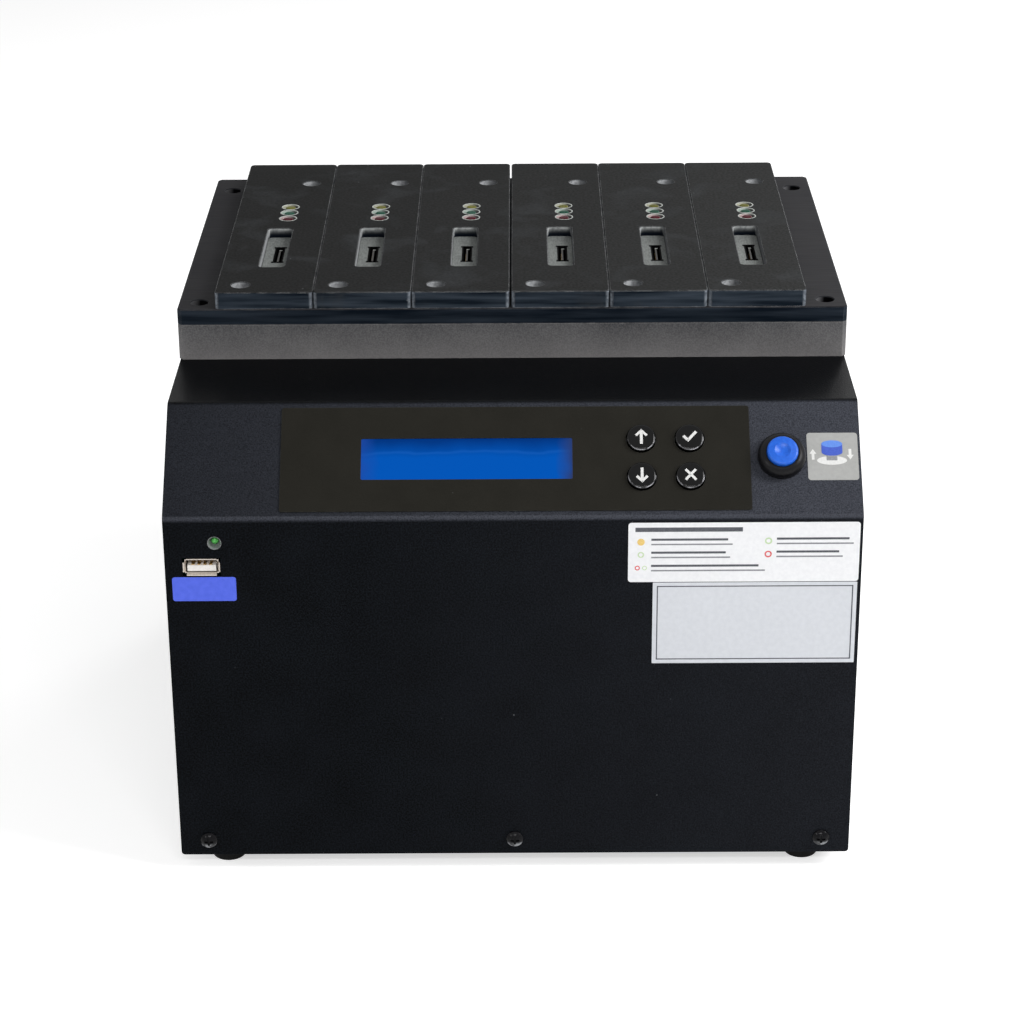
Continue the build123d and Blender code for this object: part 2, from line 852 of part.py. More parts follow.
lamp_tip = block_thickness - lamp_drop
with BuildPart() as lamp_form:
    with BuildSketch(section(Plane.XY)):
        with BuildLine():
            Polyline(
                (0, lamp_tip),
                (0, 0),
                (lamp_base_radius, 0),
                (lamp_base_radius, lamp_base_height),
                (lamp_radius, lamp_base_height),
                (lamp_radius, lamp_tip - lamp_round),
            )
            RadiusArc(
                (lamp_radius, lamp_tip - lamp_round),
                (lamp_radius - lamp_round, lamp_tip),
                -lamp_round,
            )
            Line((lamp_radius - lamp_round, lamp_tip), (0, lamp_tip))
        make_face()
    revolve(axis=Axis.Z)
    with BuildSketch():
        with GridLocations(lead_pitch, 0, 2, 1):
            Rectangle(lead_size, lead_size)
    extrude(amount=-plate_thickness)

with BuildPart() as led_sleeves:
    with Locations(*[(c + x, y, z_plate) for c in block_columns for x, y in lamp_points]):
        add(sleeve_form.part)
write(led_sleeves, "led_sleeves")

for name, lamp_y in zip(("red_leds", "green_leds", "yellow_leds"), lamp_ys):
    with BuildPart() as port_lamps:
        with Locations(*[(c + lamp_offset, lamp_y, z_plate) for c in block_columns]):
            add(lamp_form.part)
    write(port_lamps, name)

# Backplane under the deck plate, with the socket for the flat cable below it
backplane_front_y = connector_mid_y - connector_length / 2 - backplane_border
backplane_back_y = lamp_ys[-1] + backplane_border
backplane_mid_y = (backplane_front_y + backplane_back_y) / 2
ribbon_upper_y = backplane_mid_y
with BuildPart() as backplane_board:
    with BuildSketch(Plane.XY.offset(z_deck)):
        with Locations((0, backplane_mid_y)):
            Rectangle(deck_inner_width - 2 * backplane_side_gap, backplane_back_y - backplane_front_y)
    extrude(amount=-board_thickness)
    with BuildSketch(Plane.XY.offset(z_deck - board_thickness)):
        with Locations((ribbon_x, ribbon_upper_y)):
            Rectangle(header_width, header_length)
    extrude(amount=-header_height)
write(backplane_board, "backplane_board")

# Overlay film on the slope, with the display window and the key holes
with BuildPart() as control_overlay:
    with BuildSketch(slope):
        with Locations((overlay_x, 0)):
            RectangleRounded(overlay_width, overlay_height, overlay_corner)
        with Locations((lcd_x, 0)):
            RectangleRounded(lcd_window_width, lcd_window_height, lcd_window_corner, mode=Mode.SUBTRACT)
        with Locations(*key_points.values()):
            Circle(key_radius + key_overlay_gap, mode=Mode.SUBTRACT)
    extrude(amount=overlay_thickness)
write(control_overlay, "control_overlay")

# Display: board with a pressed frame, and the glass in it
lcd_glass_width = lcd_frame_width - 2 * lcd_glass_border
lcd_glass_height = lcd_frame_height - 2 * lcd_glass_border
with BuildPart() as lcd_module:
    with BuildSketch(slope.offset(-board_drop)):
        with Locations((lcd_x, 0)):
            Rectangle(lcd_board_width, lcd_board_height)
    extrude(amount=-board_thickness)
    with BuildSketch(slope.offset(-board_drop)):
        with Locations((lcd_x, 0)):
            RectangleRounded(lcd_frame_width, lcd_frame_height, overlay_corner)
    extrude(amount=board_drop - lcd_recess)
    with BuildSketch(slope.offset(-lcd_recess)):
        with Locations((lcd_x, 0)):
            Rectangle(lcd_glass_width + 2 * lcd_glass_gap, lcd_glass_height + 2 * lcd_glass_gap)
    extrude(amount=-lcd_glass_thickness, mode=Mode.SUBTRACT)
write(lcd_module, "lcd_module")

with BuildPart() as lcd_glass:
    with BuildSketch(slope.offset(-lcd_recess)):
        with Locations((lcd_x, 0)):
            Rectangle(lcd_glass_width, lcd_glass_height)
    extrude(amount=-lcd_glass_thickness)
write(lcd_glass, "lcd_glass")

# Keys: domed caps held under the sheet by a flange, each with a stem into its switch
key_flange_top = -sheet - key_play
key_flange_bottom = key_flange_top - key_flange
key_stem_end = -board_drop + switch_floor + key_travel + key_slack
for name, (x, y) in key_points.items():
    key_seat = at(slope, x, y)
    with BuildPart() as key_cap:
        with BuildSketch(section(key_seat)):
            with BuildLine():
                Polyline(
                    (0, key_height + key_crown),
                    (0, key_stem_end),
                    (key_stem_radius, key_stem_end),
                    (key_stem_radius, key_flange_bottom),
                    (key_radius + key_flange_lip, key_flange_bottom),
                    (key_radius + key_flange_lip, key_flange_top),
                    (key_radius, key_flange_top),
                    (key_radius, key_height - key_round),
                )
                RadiusArc(
                    (key_radius, key_height - key_round),
                    (key_radius - key_round, key_height),
                    -key_round,
                )
                TangentArc(
                    (0, key_height + key_crown),
                    (key_radius - key_round, key_height),
                    tangent=(1, 0),
                )
            make_face()
        revolve(axis=turning_axis(key_seat))
    write(key_cap, name)

with BuildPart() as key_switches:
    with BuildSketch(slope.offset(-board_drop)):
        with Locations(*key_points.values()):
            RectangleRounded(switch_size, switch_size, overlay_corner)
    extrude(amount=switch_height)
    with BuildSketch(slope.offset(-board_drop + switch_floor)):
        with Locations(*key_points.values()):
            Circle(key_stem_radius + key_stem_gap)
    extrude(amount=switch_height, mode=Mode.SUBTRACT)
write(key_switches, "key_switches")

with BuildPart() as key_board:
    with BuildSketch(slope.offset(-board_drop)):
        with Locations((key_x, 0)):
            Rectangle(key_pitch_x + 2 * key_board_margin, key_pitch_y + 2 * key_board_margin)
    extrude(amount=-board_thickness)
write(key_board, "key_board")

# Push button: domed bezel on a threaded barrel, hollow for the sliding cap
button_seat = at(slope, button_x, 0)
button_floor = -button_barrel_length + button_barrel_floor
bulge_radius = (button_bezel_radius + button_bezel_top_radius) / 2 + button_bezel_bulge
bulge_height = (button_bezel_rim + button_bezel_height) / 2 + button_bezel_bulge
with BuildPart() as button_bezel:
    with BuildSketch(section(button_seat)):
        with BuildLine():
            ThreePointArc(
                (button_bezel_radius, button_bezel_rim),
                (bulge_radius, bulge_height),
                (button_bezel_top_radius, button_bezel_height),
            )
            Polyline(
                (button_bezel_top_radius, button_bezel_height),
                (button_bore_radius, button_bezel_height),
                (button_bore_radius, button_floor),
                (0, button_floor),
                (0, -button_barrel_length),
                (button_barrel_radius, -button_barrel_length),
                (button_barrel_radius, 0),
                (button_bezel_radius, 0),
                (button_bezel_radius, button_bezel_rim),
            )
        make_face()
    revolve(axis=turning_axis(button_seat))
    with BuildSketch(at(slope, button_x, 0, -button_barrel_length)):
        with GridLocations(terminal_pitch, 0, 2, 1):
            Rectangle(terminal_thickness, terminal_width)
    extrude(amount=-terminal_length)
write(button_bezel, "button_bezel")

with BuildPart() as button_nut:
    with BuildSketch(at(slope, button_x, 0, -sheet)):
        RegularPolygon(button_nut_radius, 6)
        Circle(button_barrel_radius + screw_gap, mode=Mode.SUBTRACT)
    extrude(amount=-button_nut_height)
write(button_nut, "button_nut")

button_radius = button_bore_radius - button_gap
button_foot = button_floor + button_travel + button_slack
with BuildPart() as button_cap:
    with BuildSketch(section(button_seat)):
        with BuildLine():
            Polyline(
                (0, button_height + button_dish_lift - button_dish_depth),
                (0, button_foot),
                (button_radius, button_foot),
                (button_radius, button_height - button_round),
            )
            RadiusArc(
                (button_radius, button_height - button_round),
                (button_radius - button_round, button_height),
                -button_round,
            )
            Line(
                (button_radius - button_round, button_height),
                (button_dish_radius, button_height + button_dish_lift),
            )
            TangentArc(
                (0, button_height + button_dish_lift - button_dish_depth),
                (button_dish_radius, button_height + button_dish_lift),
                tangent=(1, 0),
            )
        make_face()
    revolve(axis=turning_axis(button_seat))
write(button_cap, "button_cap")

# USB socket: pressed shell with flared lips, plastic tongue and four contacts
usb_seat = at(front, usb_x, usb_z)
usb_inner_width = usb_width - 2 * usb_wall
usb_inner_height = usb_height - 2 * usb_wall
with BuildPart() as usb_shell:
    with BuildSketch(usb_seat.offset(-usb_flare)):
        Rectangle(usb_width, usb_height)
    extrude(amount=-(io_depth - usb_flare))
    with BuildSketch(usb_seat.offset(-usb_flare)):
        Rectangle(usb_width, usb_height)
    with BuildSketch(usb_seat.offset(usb_proud)):
        Rectangle(usb_lip_width, usb_lip_height)
    loft()
    with BuildSketch(usb_seat.offset(-usb_flare)):
        Rectangle(usb_inner_width, usb_inner_height)
    extrude(amount=-(io_depth - usb_flare), mode=Mode.SUBTRACT)
    with BuildSketch(usb_seat.offset(-usb_flare)):
        Rectangle(usb_inner_width, usb_inner_height)
    with BuildSketch(usb_seat.offset(usb_proud)):
        Rectangle(usb_lip_width - 2 * usb_wall, usb_lip_height - 2 * usb_wall)
    loft(mode=Mode.SUBTRACT)
    with BuildSketch(usb_seat.offset(usb_proud)):
        Rectangle(usb_lip_width, usb_lip_height)
        Rectangle(usb_lip_run, usb_lip_height, mode=Mode.SUBTRACT)
        Rectangle(usb_lip_width, usb_lip_rise, mode=Mode.SUBTRACT)
    extrude(amount=-(usb_proud + usb_flare), mode=Mode.SUBTRACT)
write(usb_shell, "usb_shell")

usb_block_front = -io_depth + usb_block_depth
with BuildPart() as usb_tongue:
    with BuildSketch(usb_seat.offset(-io_depth)):
        Rectangle(usb_inner_width - 2 * usb_block_gap, usb_inner_height - 2 * usb_block_gap)
    extrude(amount=usb_block_depth)
    with BuildSketch(usb_seat.offset(usb_block_front)):
        with Locations((0, -usb_tongue_drop)):
            Rectangle(usb_tongue_width, usb_tongue_height)
    extrude(amount=-usb_block_front - usb_tongue_setback)
write(usb_tongue, "usb_tongue")

with BuildPart() as usb_contacts:
    with BuildSketch(usb_seat.offset(usb_block_front)):
        with Locations((0, usb_tongue_height / 2 - usb_tongue_drop)):
            with GridLocations(usb_contact_pitch, 0, 4, 1):
                Rectangle(usb_contact_width, usb_contact_height, align=(Align.CENTER, Align.MIN))
    extrude(amount=-usb_block_front - usb_tongue_setback - usb_contact_inset)
write(usb_contacts, "usb_contacts")

with BuildPart() as front_io_board:
    with BuildSketch(front.offset(-io_depth)):
        with Locations((io_board_x, io_board_z)):
            Rectangle(io_board_width, io_board_height)
    extrude(amount=-board_thickness)
write(front_io_board, "front_io_board")

# Front lamp in its holder, a tube from the panel to the board
status_seat = at(front, status_x, status_z)
status_bore = status_lamp_radius + status_lamp_gap
with BuildPart() as led_holder:
    with BuildSketch(section(status_seat)):
        with BuildLine():
            Polyline(
                (status_bore, -io_depth),
                (status_hole_radius - status_holder_gap, -io_depth),
                (status_hole_radius - status_holder_gap, 0),
                (status_cone_radius, 0),
                (status_bore, -status_cone_depth),
                close=True,
            )
        make_face()
    revolve(axis=turning_axis(status_seat))
write(led_holder, "led_holder")

with BuildPart() as status_led:
    with BuildSketch(section(status_seat)):
        with BuildLine():
            Polyline(
                (0, -status_lamp_sunk),
                (0, -status_lamp_length),
                (status_lamp_radius, -status_lamp_length),
                (status_lamp_radius, -status_lamp_sunk - status_lamp_radius),
            )
            RadiusArc(
                (status_lamp_radius, -status_lamp_sunk - status_lamp_radius),
                (0, -status_lamp_sunk),
                -status_lamp_radius,
            )
        make_face()
    revolve(axis=turning_axis(status_seat))
    with BuildSketch(status_seat.offset(-status_lamp_length)):
        with GridLocations(status_lead_pitch, 0, 2, 1):
            Rectangle(lead_size, lead_size)
    extrude(amount=-(io_depth - status_lamp_length))
write(status_led, "status_led")

# Controller board on standoffs, with its chip, heat sink and flat cable
z_floor = z_base + sheet
z_board = z_floor + standoff_height
z_board_top = z_board + board_thickness
with BuildPart() as board_standoffs:
    with BuildSketch(Plane.XY.offset(z_floor)):
        with Locations(*standoff_points):
            RegularPolygon(standoff_radius, 6)
    extrude(amount=standoff_height)
write(board_standoffs, "board_standoffs")

chip_place = (main_board_x + chip_x, main_board_y + chip_y)
with BuildPart() as main_board:
    with BuildSketch(Plane.XY.offset(z_board)):
        with Locations((main_board_x, main_board_y)):
            Rectangle(main_board_width, main_board_length)
    extrude(amount=board_thickness)
    with BuildSketch(Plane.XY.offset(z_board_top)):
        with Locations(chip_place):
            Rectangle(chip_size, chip_size)
    extrude(amount=chip_height)
    with BuildSketch(Plane.XY.offset(z_board_top)):
        with Locations((ribbon_x, ribbon_lower_y)):
            Rectangle(header_width, header_length)
    extrude(amount=header_height)
write(main_board, "main_board")

with BuildPart() as heat_sink:
    with BuildSketch(Plane.XY.offset(z_board_top + chip_height)):
        with Locations(chip_place):
            Rectangle(sink_size, sink_size)
    extrude(amount=sink_base)
    fin_pitch = (sink_size - sink_fin_thickness) / (sink_fin_count - 1)
    with BuildSketch(Plane.XY.offset(z_board_top + chip_height + sink_base)):
        with Locations(chip_place):
            with GridLocations(fin_pitch, 0, sink_fin_count, 1):
                Rectangle(sink_fin_thickness, sink_size)
    extrude(amount=sink_height - sink_base)
write(heat_sink, "heat_sink")

ribbon_low_z = z_board_top + header_height
ribbon_high_z = z_deck - board_thickness - header_height
with BuildPart() as data_ribbon:
    with BuildSketch(Plane.YZ.offset(ribbon_x)):
        with BuildLine():
            FilletPolyline(
                (ribbon_lower_y, ribbon_low_z),
                (ribbon_lower_y, ribbon_low_z + ribbon_knee_low),
                (ribbon_upper_y, ribbon_high_z - ribbon_knee_high),
                (ribbon_upper_y, ribbon_high_z),
                radius=ribbon_bend,
            )
            offset(amount=ribbon_thickness, side=Side.RIGHT)
        make_face()
    extrude(amount=ribbon_width / 2, both=True)
write(data_ribbon, "data_ribbon")

# Power supply: a closed box on the floor of the case, with its terminal block in front
with BuildPart() as power_supply:
    with BuildSketch(Plane.XY.offset(z_floor)):
        with Locations((supply_x, supply_y)):
            Rectangle(supply_width, supply_length)
    extrude(amount=supply_height)
    fillet(power_supply.edges().filter_by(Axis.Z), radius=supply_edge)
    with BuildSketch(Plane.XY.offset(z_floor)):
        with Locations((supply_x, supply_y - supply_length / 2)):
            Rectangle(
                supply_terminal_width,
                supply_terminal_length,
                align=(Align.CENTER, Align.MAX),
            )
    extrude(amount=supply_terminal_height)
write(power_supply, "power_supply")

# Mains inlet: one moulding with the plug socket and the well of the rocker switch
inlet_seat = at(rear, inlet_x, inlet_height)
socket_seat = at(rear, inlet_x + socket_offset, inlet_height, inlet_flange)
rocker_seat = at(rear, inlet_x + rocker_offset, inlet_height, inlet_flange)
rocker_pivot = Plane(
    origin=rocker_seat.from_local_coords((0, 0, -rocker_pivot_depth)),
    x_dir=rocker_seat.y_dir,
    z_dir=rocker_seat.x_dir,
)
rocker_pin_reach = rocker_width / 2 + rocker_gap + rocker_pin_length
pin_points = [(-pin_pitch / 2, -pin_rise), (0, pin_rise), (pin_pitch / 2, -pin_rise)]
with BuildPart() as mains_inlet:
    with BuildSketch(inlet_seat):
        RectangleRounded(inlet_flange_width, inlet_flange_height, inlet_flange_corner)
    extrude(amount=inlet_flange)
    with BuildSketch(inlet_seat):
        Rectangle(inlet_body_width, inlet_body_height)
    extrude(amount=-inlet_body_depth)
    with BuildSketch(socket_seat) as socket_mouth:
        Rectangle(socket_width, socket_height)
        chamfer(socket_mouth.vertices().group_by(Axis.Y)[-1], length=socket_bevel)
    extrude(amount=-socket_depth, mode=Mode.SUBTRACT)
    with BuildSketch(socket_seat):
        with Locations(*pin_points):
            Rectangle(pin_width + 2 * pin_gap, pin_height + 2 * pin_gap)
    extrude(amount=-(inlet_flange + inlet_body_depth), mode=Mode.SUBTRACT)
    with BuildSketch(rocker_seat):
        Rectangle(rocker_width + 2 * rocker_gap, 2 * (rocker_radius + rocker_gap))
    extrude(amount=-(rocker_pivot_depth + rocker_radius + rocker_gap), mode=Mode.SUBTRACT)
    with BuildSketch(rocker_pivot):
        Circle(rocker_pin_radius + rocker_pin_gap)
    extrude(amount=rocker_pin_reach + rocker_pin_gap, both=True, mode=Mode.SUBTRACT)
write(mains_inlet, "mains_inlet")

with BuildPart() as inlet_pins:
    with BuildSketch(socket_seat.offset(-pin_setback)):
        with Locations(*pin_points):
            Rectangle(pin_width, pin_height)
    extrude(amount=-(inlet_flange + inlet_body_depth - pin_setback + pin_tail))
write(inlet_pins, "inlet_pins")

# Rocker, tipped to its off side, on two pins in the walls of its well
rocker_face_height = sqrt(rocker_radius**2 - rocker_half_height**2)
rocker_root_width = sqrt(rocker_radius**2 - rocker_root**2)
with BuildPart() as power_rocker:
    with BuildSketch(rocker_pivot.moved(Rotation(0, 0, -rocker_tilt))):
        with BuildLine():
            Polyline(
                (-rocker_half_height, rocker_face_height),
                (0, rocker_notch),
                (rocker_half_height, rocker_face_height),
            )
            RadiusArc(
                (rocker_half_height, rocker_face_height),
                (rocker_root_width, -rocker_root),
                rocker_radius,
            )
            Line((rocker_root_width, -rocker_root), (-rocker_root_width, -rocker_root))
            RadiusArc(
                (-rocker_root_width, -rocker_root),
                (-rocker_half_height, rocker_face_height),
                rocker_radius,
            )
        make_face()
    extrude(amount=rocker_width / 2, both=True)
    with BuildSketch(rocker_pivot):
        Circle(rocker_pin_radius)
    extrude(amount=rocker_pin_reach, both=True)
write(power_rocker, "power_rocker")

# Fan: frame with a hub on four struts, and a rotor on a shaft in the hub
fan_seat = at(rear, fan_x, fan_height, -sheet)
with BuildPart() as fan_frame:
    with BuildSketch(fan_seat):
        RectangleRounded(fan_size, fan_size, fan_corner)
        Circle(fan_bore_radius, mode=Mode.SUBTRACT)
        with GridLocations(fan_hole_pitch, fan_hole_pitch, 2, 2):
            Circle(pan_shank_radius + screw_gap, mode=Mode.SUBTRACT)
    extrude(amount=-fan_depth)
    with BuildSketch(fan_seat):
        Circle(fan_hub_radius)
        for angle in (0, 90):
            Rectangle(2 * (fan_bore_radius + fan_strut_root), fan_strut_width, rotation=angle)
        Circle(fan_shaft_radius + fan_shaft_gap, mode=Mode.SUBTRACT)
    extrude(amount=-fan_strut_depth)
write(fan_frame, "fan_frame")

rotor_face = -fan_strut_depth - fan_hub_gap
rotor_length = fan_depth - fan_strut_depth - fan_hub_gap - fan_back_gap
rotor_middle = rotor_face - rotor_length / 2
with BuildPart() as fan_rotor:
    with BuildSketch(fan_seat.offset(rotor_face)):
        Circle(fan_hub_radius)
    extrude(amount=-rotor_length)
    with BuildSketch(fan_seat.offset(rotor_face)):
        Circle(fan_shaft_radius)
    extrude(amount=fan_strut_depth)
    for blade in range(fan_blade_count):
        spoke = fan_seat.moved(Rotation(0, 0, 360 * blade / fan_blade_count))
        root = Plane(
            origin=spoke.from_local_coords((fan_hub_radius - fan_blade_thickness, 0, rotor_middle)),
            x_dir=spoke.y_dir,
            z_dir=spoke.x_dir,
        )
        with BuildSketch(root):
            Rectangle(fan_blade_root_chord, fan_blade_thickness, rotation=fan_blade_root_pitch)
        with BuildSketch(root.offset(fan_bore_radius - fan_tip_gap - fan_hub_radius)):
            Rectangle(fan_blade_tip_chord, fan_blade_thickness, rotation=fan_blade_tip_pitch)
        loft()
write(fan_rotor, "fan_rotor")

# Fan guard: a stamped plate of rings on two crossed arms, outside the rear wall
guard_seat = at(rear, fan_x, fan_height)
guard_ring_pitch = fan_bore_radius / guard_ring_count
with BuildPart() as fan_guard:
    with BuildSketch(guard_seat):
        RectangleRounded(guard_size, guard_size, guard_corner)
        for ring in range(guard_ring_count, 0, -1):
            Circle(ring * guard_ring_pitch, mode=Mode.SUBTRACT)
            Circle((ring - 1) * guard_ring_pitch + guard_ring_width)
        for angle in (45, 135):
            Rectangle(2 * fan_bore_radius + guard_arm_width, guard_arm_width, rotation=angle)
        with GridLocations(fan_hole_pitch, fan_hole_pitch, 2, 2):
            Circle(pan_shank_radius + screw_gap, mode=Mode.SUBTRACT)
    extrude(amount=guard_thickness)
write(fan_guard, "fan_guard")

with BuildPart() as fan_screws:
    with Locations(*[at(rear, x, y, guard_thickness) for x, y in fan_points]):
        add(pan_screw.part)
write(fan_screws, "fan_screws")
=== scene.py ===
# %% [markdown]
# # A bench-top disk duplicator, dressed in Blender
#
# The machine is a folded black steel case. Its front carries a USB socket, a lamp and a few labels.
# Above the front a sloped panel holds a blue display, four keys and a blue push button.
# On top stands a deck of six port blocks, each with a slot, a connector and three lamps.
#
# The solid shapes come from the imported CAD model. This lesson adds the finishes, the printed and
# stuck-on pieces, the light and the camera. Every number is in metres, in the CAD model's own frame:
# +X is right, +Y is back, +Z is up, and the front faces -Y.

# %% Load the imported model
import math

import bmesh
import bpy
from mathutils import Matrix, Vector


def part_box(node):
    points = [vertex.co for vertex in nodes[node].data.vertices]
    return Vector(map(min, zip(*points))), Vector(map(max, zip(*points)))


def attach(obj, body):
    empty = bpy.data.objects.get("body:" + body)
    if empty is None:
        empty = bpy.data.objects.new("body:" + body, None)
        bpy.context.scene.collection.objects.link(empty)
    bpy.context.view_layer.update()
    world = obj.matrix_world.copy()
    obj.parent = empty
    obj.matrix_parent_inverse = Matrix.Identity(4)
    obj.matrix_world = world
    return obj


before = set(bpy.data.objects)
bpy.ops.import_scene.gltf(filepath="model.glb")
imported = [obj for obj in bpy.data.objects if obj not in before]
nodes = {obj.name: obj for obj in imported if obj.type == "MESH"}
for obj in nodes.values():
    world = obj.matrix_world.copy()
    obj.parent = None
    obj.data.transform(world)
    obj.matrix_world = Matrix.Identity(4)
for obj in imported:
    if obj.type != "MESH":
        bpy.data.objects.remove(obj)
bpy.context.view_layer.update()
scene = bpy.context.scene
mm = 0.001

# %% [markdown]
# ## The camera
#
# The photograph was taken a little from above, with a long lens, straight at the front.
# A camera could be aimed by eye. Here its place and its three angles were fitted to the corners of
# the case, so the render lines up with the picture. The columns of a camera's matrix are its right,
# its up and its backward directions.

# %% Camera
camera_place = Vector((0.002903, -1.14261, 0.59756))
pitch, yaw, roll = (math.radians(a) for a in (23.640, -0.182, -0.366))

ahead = Vector((math.sin(yaw) * math.cos(pitch), math.cos(yaw) * math.cos(pitch), -math.sin(pitch)))
level_right = Vector((math.cos(yaw), -math.sin(yaw), 0.0))
level_up = level_right.cross(ahead)
right = math.cos(roll) * level_right + math.sin(roll) * level_up
up = -math.sin(roll) * level_right + math.cos(roll) * level_up

camera = bpy.data.objects.new("camera", bpy.data.cameras.new("camera"))
camera.data.sensor_width = 36.0
camera.data.lens = 100.39
camera.data.clip_start = 0.05
camera.data.clip_end = 50.0
camera.matrix_world = Matrix.Translation(camera_place) @ Matrix((right, up, -ahead)).transposed().to_4x4()
scene.collection.objects.link(camera)
scene.camera = camera
scene.view_settings.view_transform = "Standard"
print("camera", [round(v, 3) for v in camera_place], "lens", round(camera.data.lens, 2))

# %% [markdown]
# ## Building node trees with one small helper
#
# Every finish below is a tree of shader nodes. Making a node takes three steps: add it, set its
# options, and fill or link its inputs. One helper does all three, so that each finish reads as a
# short recipe. An input that is given a socket is linked to it, and any other value is typed in.


# %% Node helpers
def put(tree, kind, values=None, **options):
    made = tree.nodes.new("ShaderNode" + kind)
    for option, value in options.items():
        setattr(made, option, value)
    for socket, value in (values or {}).items():
        if isinstance(value, bpy.types.NodeSocket):
            tree.links.new(value, made.inputs[socket])
        else:
            made.inputs[socket].default_value = value
    return made


def maths(tree, operation, first, second=0.0):
    return put(tree, "Math", {0: first, 1: second}, operation=operation).outputs[0]


def blend_colours(tree, share, first, second):
    """Colour that goes from the first to the second as the share goes from 0 to 1."""
    return put(tree, "Mix", {0: share, 6: first, 7: second}, data_type="RGBA").outputs[2]


def fit(tree, value, low, high, to_low=0.0, to_high=1.0):
    """Stretch a value from one range to another, and hold it there."""
    values = {"Value": value, "From Min": low, "From Max": high, "To Min": to_low, "To Max": to_high}
    return put(tree, "MapRange", values).outputs["Result"]


def rgb(red, green, blue):
    return (red, green, blue, 1.0)


print("node helpers ready")


# %% Mask helpers
def overlap(tree, first, *others):
    """Mask of where all the given masks are set, which is their product."""
    for other in others:
        first = maths(tree, "MULTIPLY", first, other)
    return first


def place_on(tree):
    return put(tree, "TexCoord").outputs["Object"]


def facing(tree):
    return put(tree, "NewGeometry").outputs["Normal"]


def axis(tree, vector, letter):
    return put(tree, "SeparateXYZ", {"Vector": vector}).outputs[letter]


def agreement(tree, first, second):
    """1 where two directions are the same and 0 where they are square to each other."""
    return put(tree, "VectorMath", {0: first, 1: second}, operation="DOT_PRODUCT").outputs["Value"]


def noise(tree, place, scale, **values):
    return put(tree, "TexNoise", {"Vector": place, "Scale": scale, **values}).outputs["Fac"]


print("mask helpers ready")


# %% Group helpers
def effect_group(name, inputs, outputs):
    """An empty node group with float or vector inputs and float outputs."""
    tree = bpy.data.node_groups.new(name, "ShaderNodeTree")
    for label, default in inputs.items():
        kind = "NodeSocketVector" if default is None else "NodeSocketFloat"
        socket = tree.interface.new_socket(label, in_out="INPUT", socket_type=kind)
        if default is not None:
            socket.default_value = default
    for label in outputs:
        tree.interface.new_socket(label, in_out="OUTPUT", socket_type="NodeSocketFloat")
    return tree, tree.nodes.new("NodeGroupInput").outputs, tree.nodes.new("NodeGroupOutput").inputs


def effect(tree, name, **values):
    """Place a shared effect in a finish and give its outputs."""
    return put(tree, "Group", values, node_tree=bpy.data.node_groups[name]).outputs


print("group helpers ready")

# %% [markdown]
# ## Effects that many finishes share
#
# Powder coat, sawn plate and moulded plastic all need a fine grain. Most of them also need rubbed
# edges and a little dust. Each effect is a node group, built once and placed in a finish with its
# own values. The groups put out plain masks and heights, and the shader stays in the finish.
#
# - Grain: two noises, a fine one for the height and a broad one for cloudy tone.
# - Edge wear: the Bevel node rounds the normal near an edge. Where it leaves the true normal, the
#   surface is an edge. A noise breaks the line up, because a real edge is rubbed here and there.
# - Dust: specks in a few cells of a cell pattern, kept small and sparse.
# - Sawn sides: a mask of the faces that don't look up, and a noise drawn out flat into saw marks.


# %% Grain group
grain_tree, grain_in, grain_out = effect_group(
    "fine_grain", {"Vector": None, "Scale": 1500.0}, ["Height", "Cloud"]
)
broad_share = 0.03
fine = noise(grain_tree, grain_in["Vector"], grain_in["Scale"], Detail=3.0)
grain_tree.links.new(fine, grain_out["Height"])
broad_scale = maths(grain_tree, "MULTIPLY", grain_in["Scale"], broad_share)
broad = noise(grain_tree, grain_in["Vector"], broad_scale, Detail=4.0)
grain_tree.links.new(fit(grain_tree, broad, 0.3, 0.7), grain_out["Cloud"])
print("effect", grain_tree.name)

# %% Edge wear group
wear_tree, wear_in, wear_out = effect_group(
    "edge_wear",
    {"Vector": None, "Radius": 0.0004, "Amount": 1.0, "Spread": 0.0, "Breakup": 260.0},
    ["Mask"],
)
rounded = put(wear_tree, "Bevel", {"Radius": wear_in["Radius"]}, samples=4).outputs["Normal"]
edge = fit(wear_tree, agreement(wear_tree, rounded, facing(wear_tree)), 0.985, 0.86)
patch = noise(wear_tree, wear_in["Vector"], wear_in["Breakup"], Detail=5.0)
broken = fit(wear_tree, maths(wear_tree, "ADD", patch, wear_in["Spread"]), 0.38, 0.66)
wear_tree.links.new(overlap(wear_tree, edge, broken, wear_in["Amount"]), wear_out["Mask"])
print("effect", wear_tree.name)

# %% Dust group
dust_tree, dust_in, dust_out = effect_group(
    "dust_specks", {"Vector": None, "Scale": 260.0, "Amount": 1.0}, ["Mask"]
)
cells = put(dust_tree, "TexVoronoi", {"Vector": dust_in["Vector"], "Scale": dust_in["Scale"]}).outputs
speck = fit(dust_tree, cells["Distance"], 0.10, 0.04)
chosen = put(dust_tree, "SeparateColor", {"Color": cells["Color"]}).outputs["Red"]
sparse = fit(dust_tree, chosen, 0.972, 0.992)
dust_tree.links.new(overlap(dust_tree, speck, sparse, dust_in["Amount"]), dust_out["Mask"])
print("effect", dust_tree.name)

# %% Sawn side group
sawn_tree, sawn_in, sawn_out = effect_group(
    "sawn_sides", {"Vector": None, "Scale": 420.0}, ["Side", "Streak"]
)
saw_stretch = (0.06, 0.06, 1.0)
upward = axis(sawn_tree, facing(sawn_tree), "Z")
sawn_tree.links.new(fit(sawn_tree, upward, 0.75, 0.35), sawn_out["Side"])
drawn_out = put(sawn_tree, "Mapping", {"Vector": sawn_in["Vector"], "Scale": saw_stretch}).outputs["Vector"]
saw_marks = noise(sawn_tree, drawn_out, sawn_in["Scale"], Detail=3.0)
sawn_tree.links.new(fit(sawn_tree, saw_marks, 0.34, 0.70), sawn_out["Streak"])
print("effects:", [group.name for group in bpy.data.node_groups])

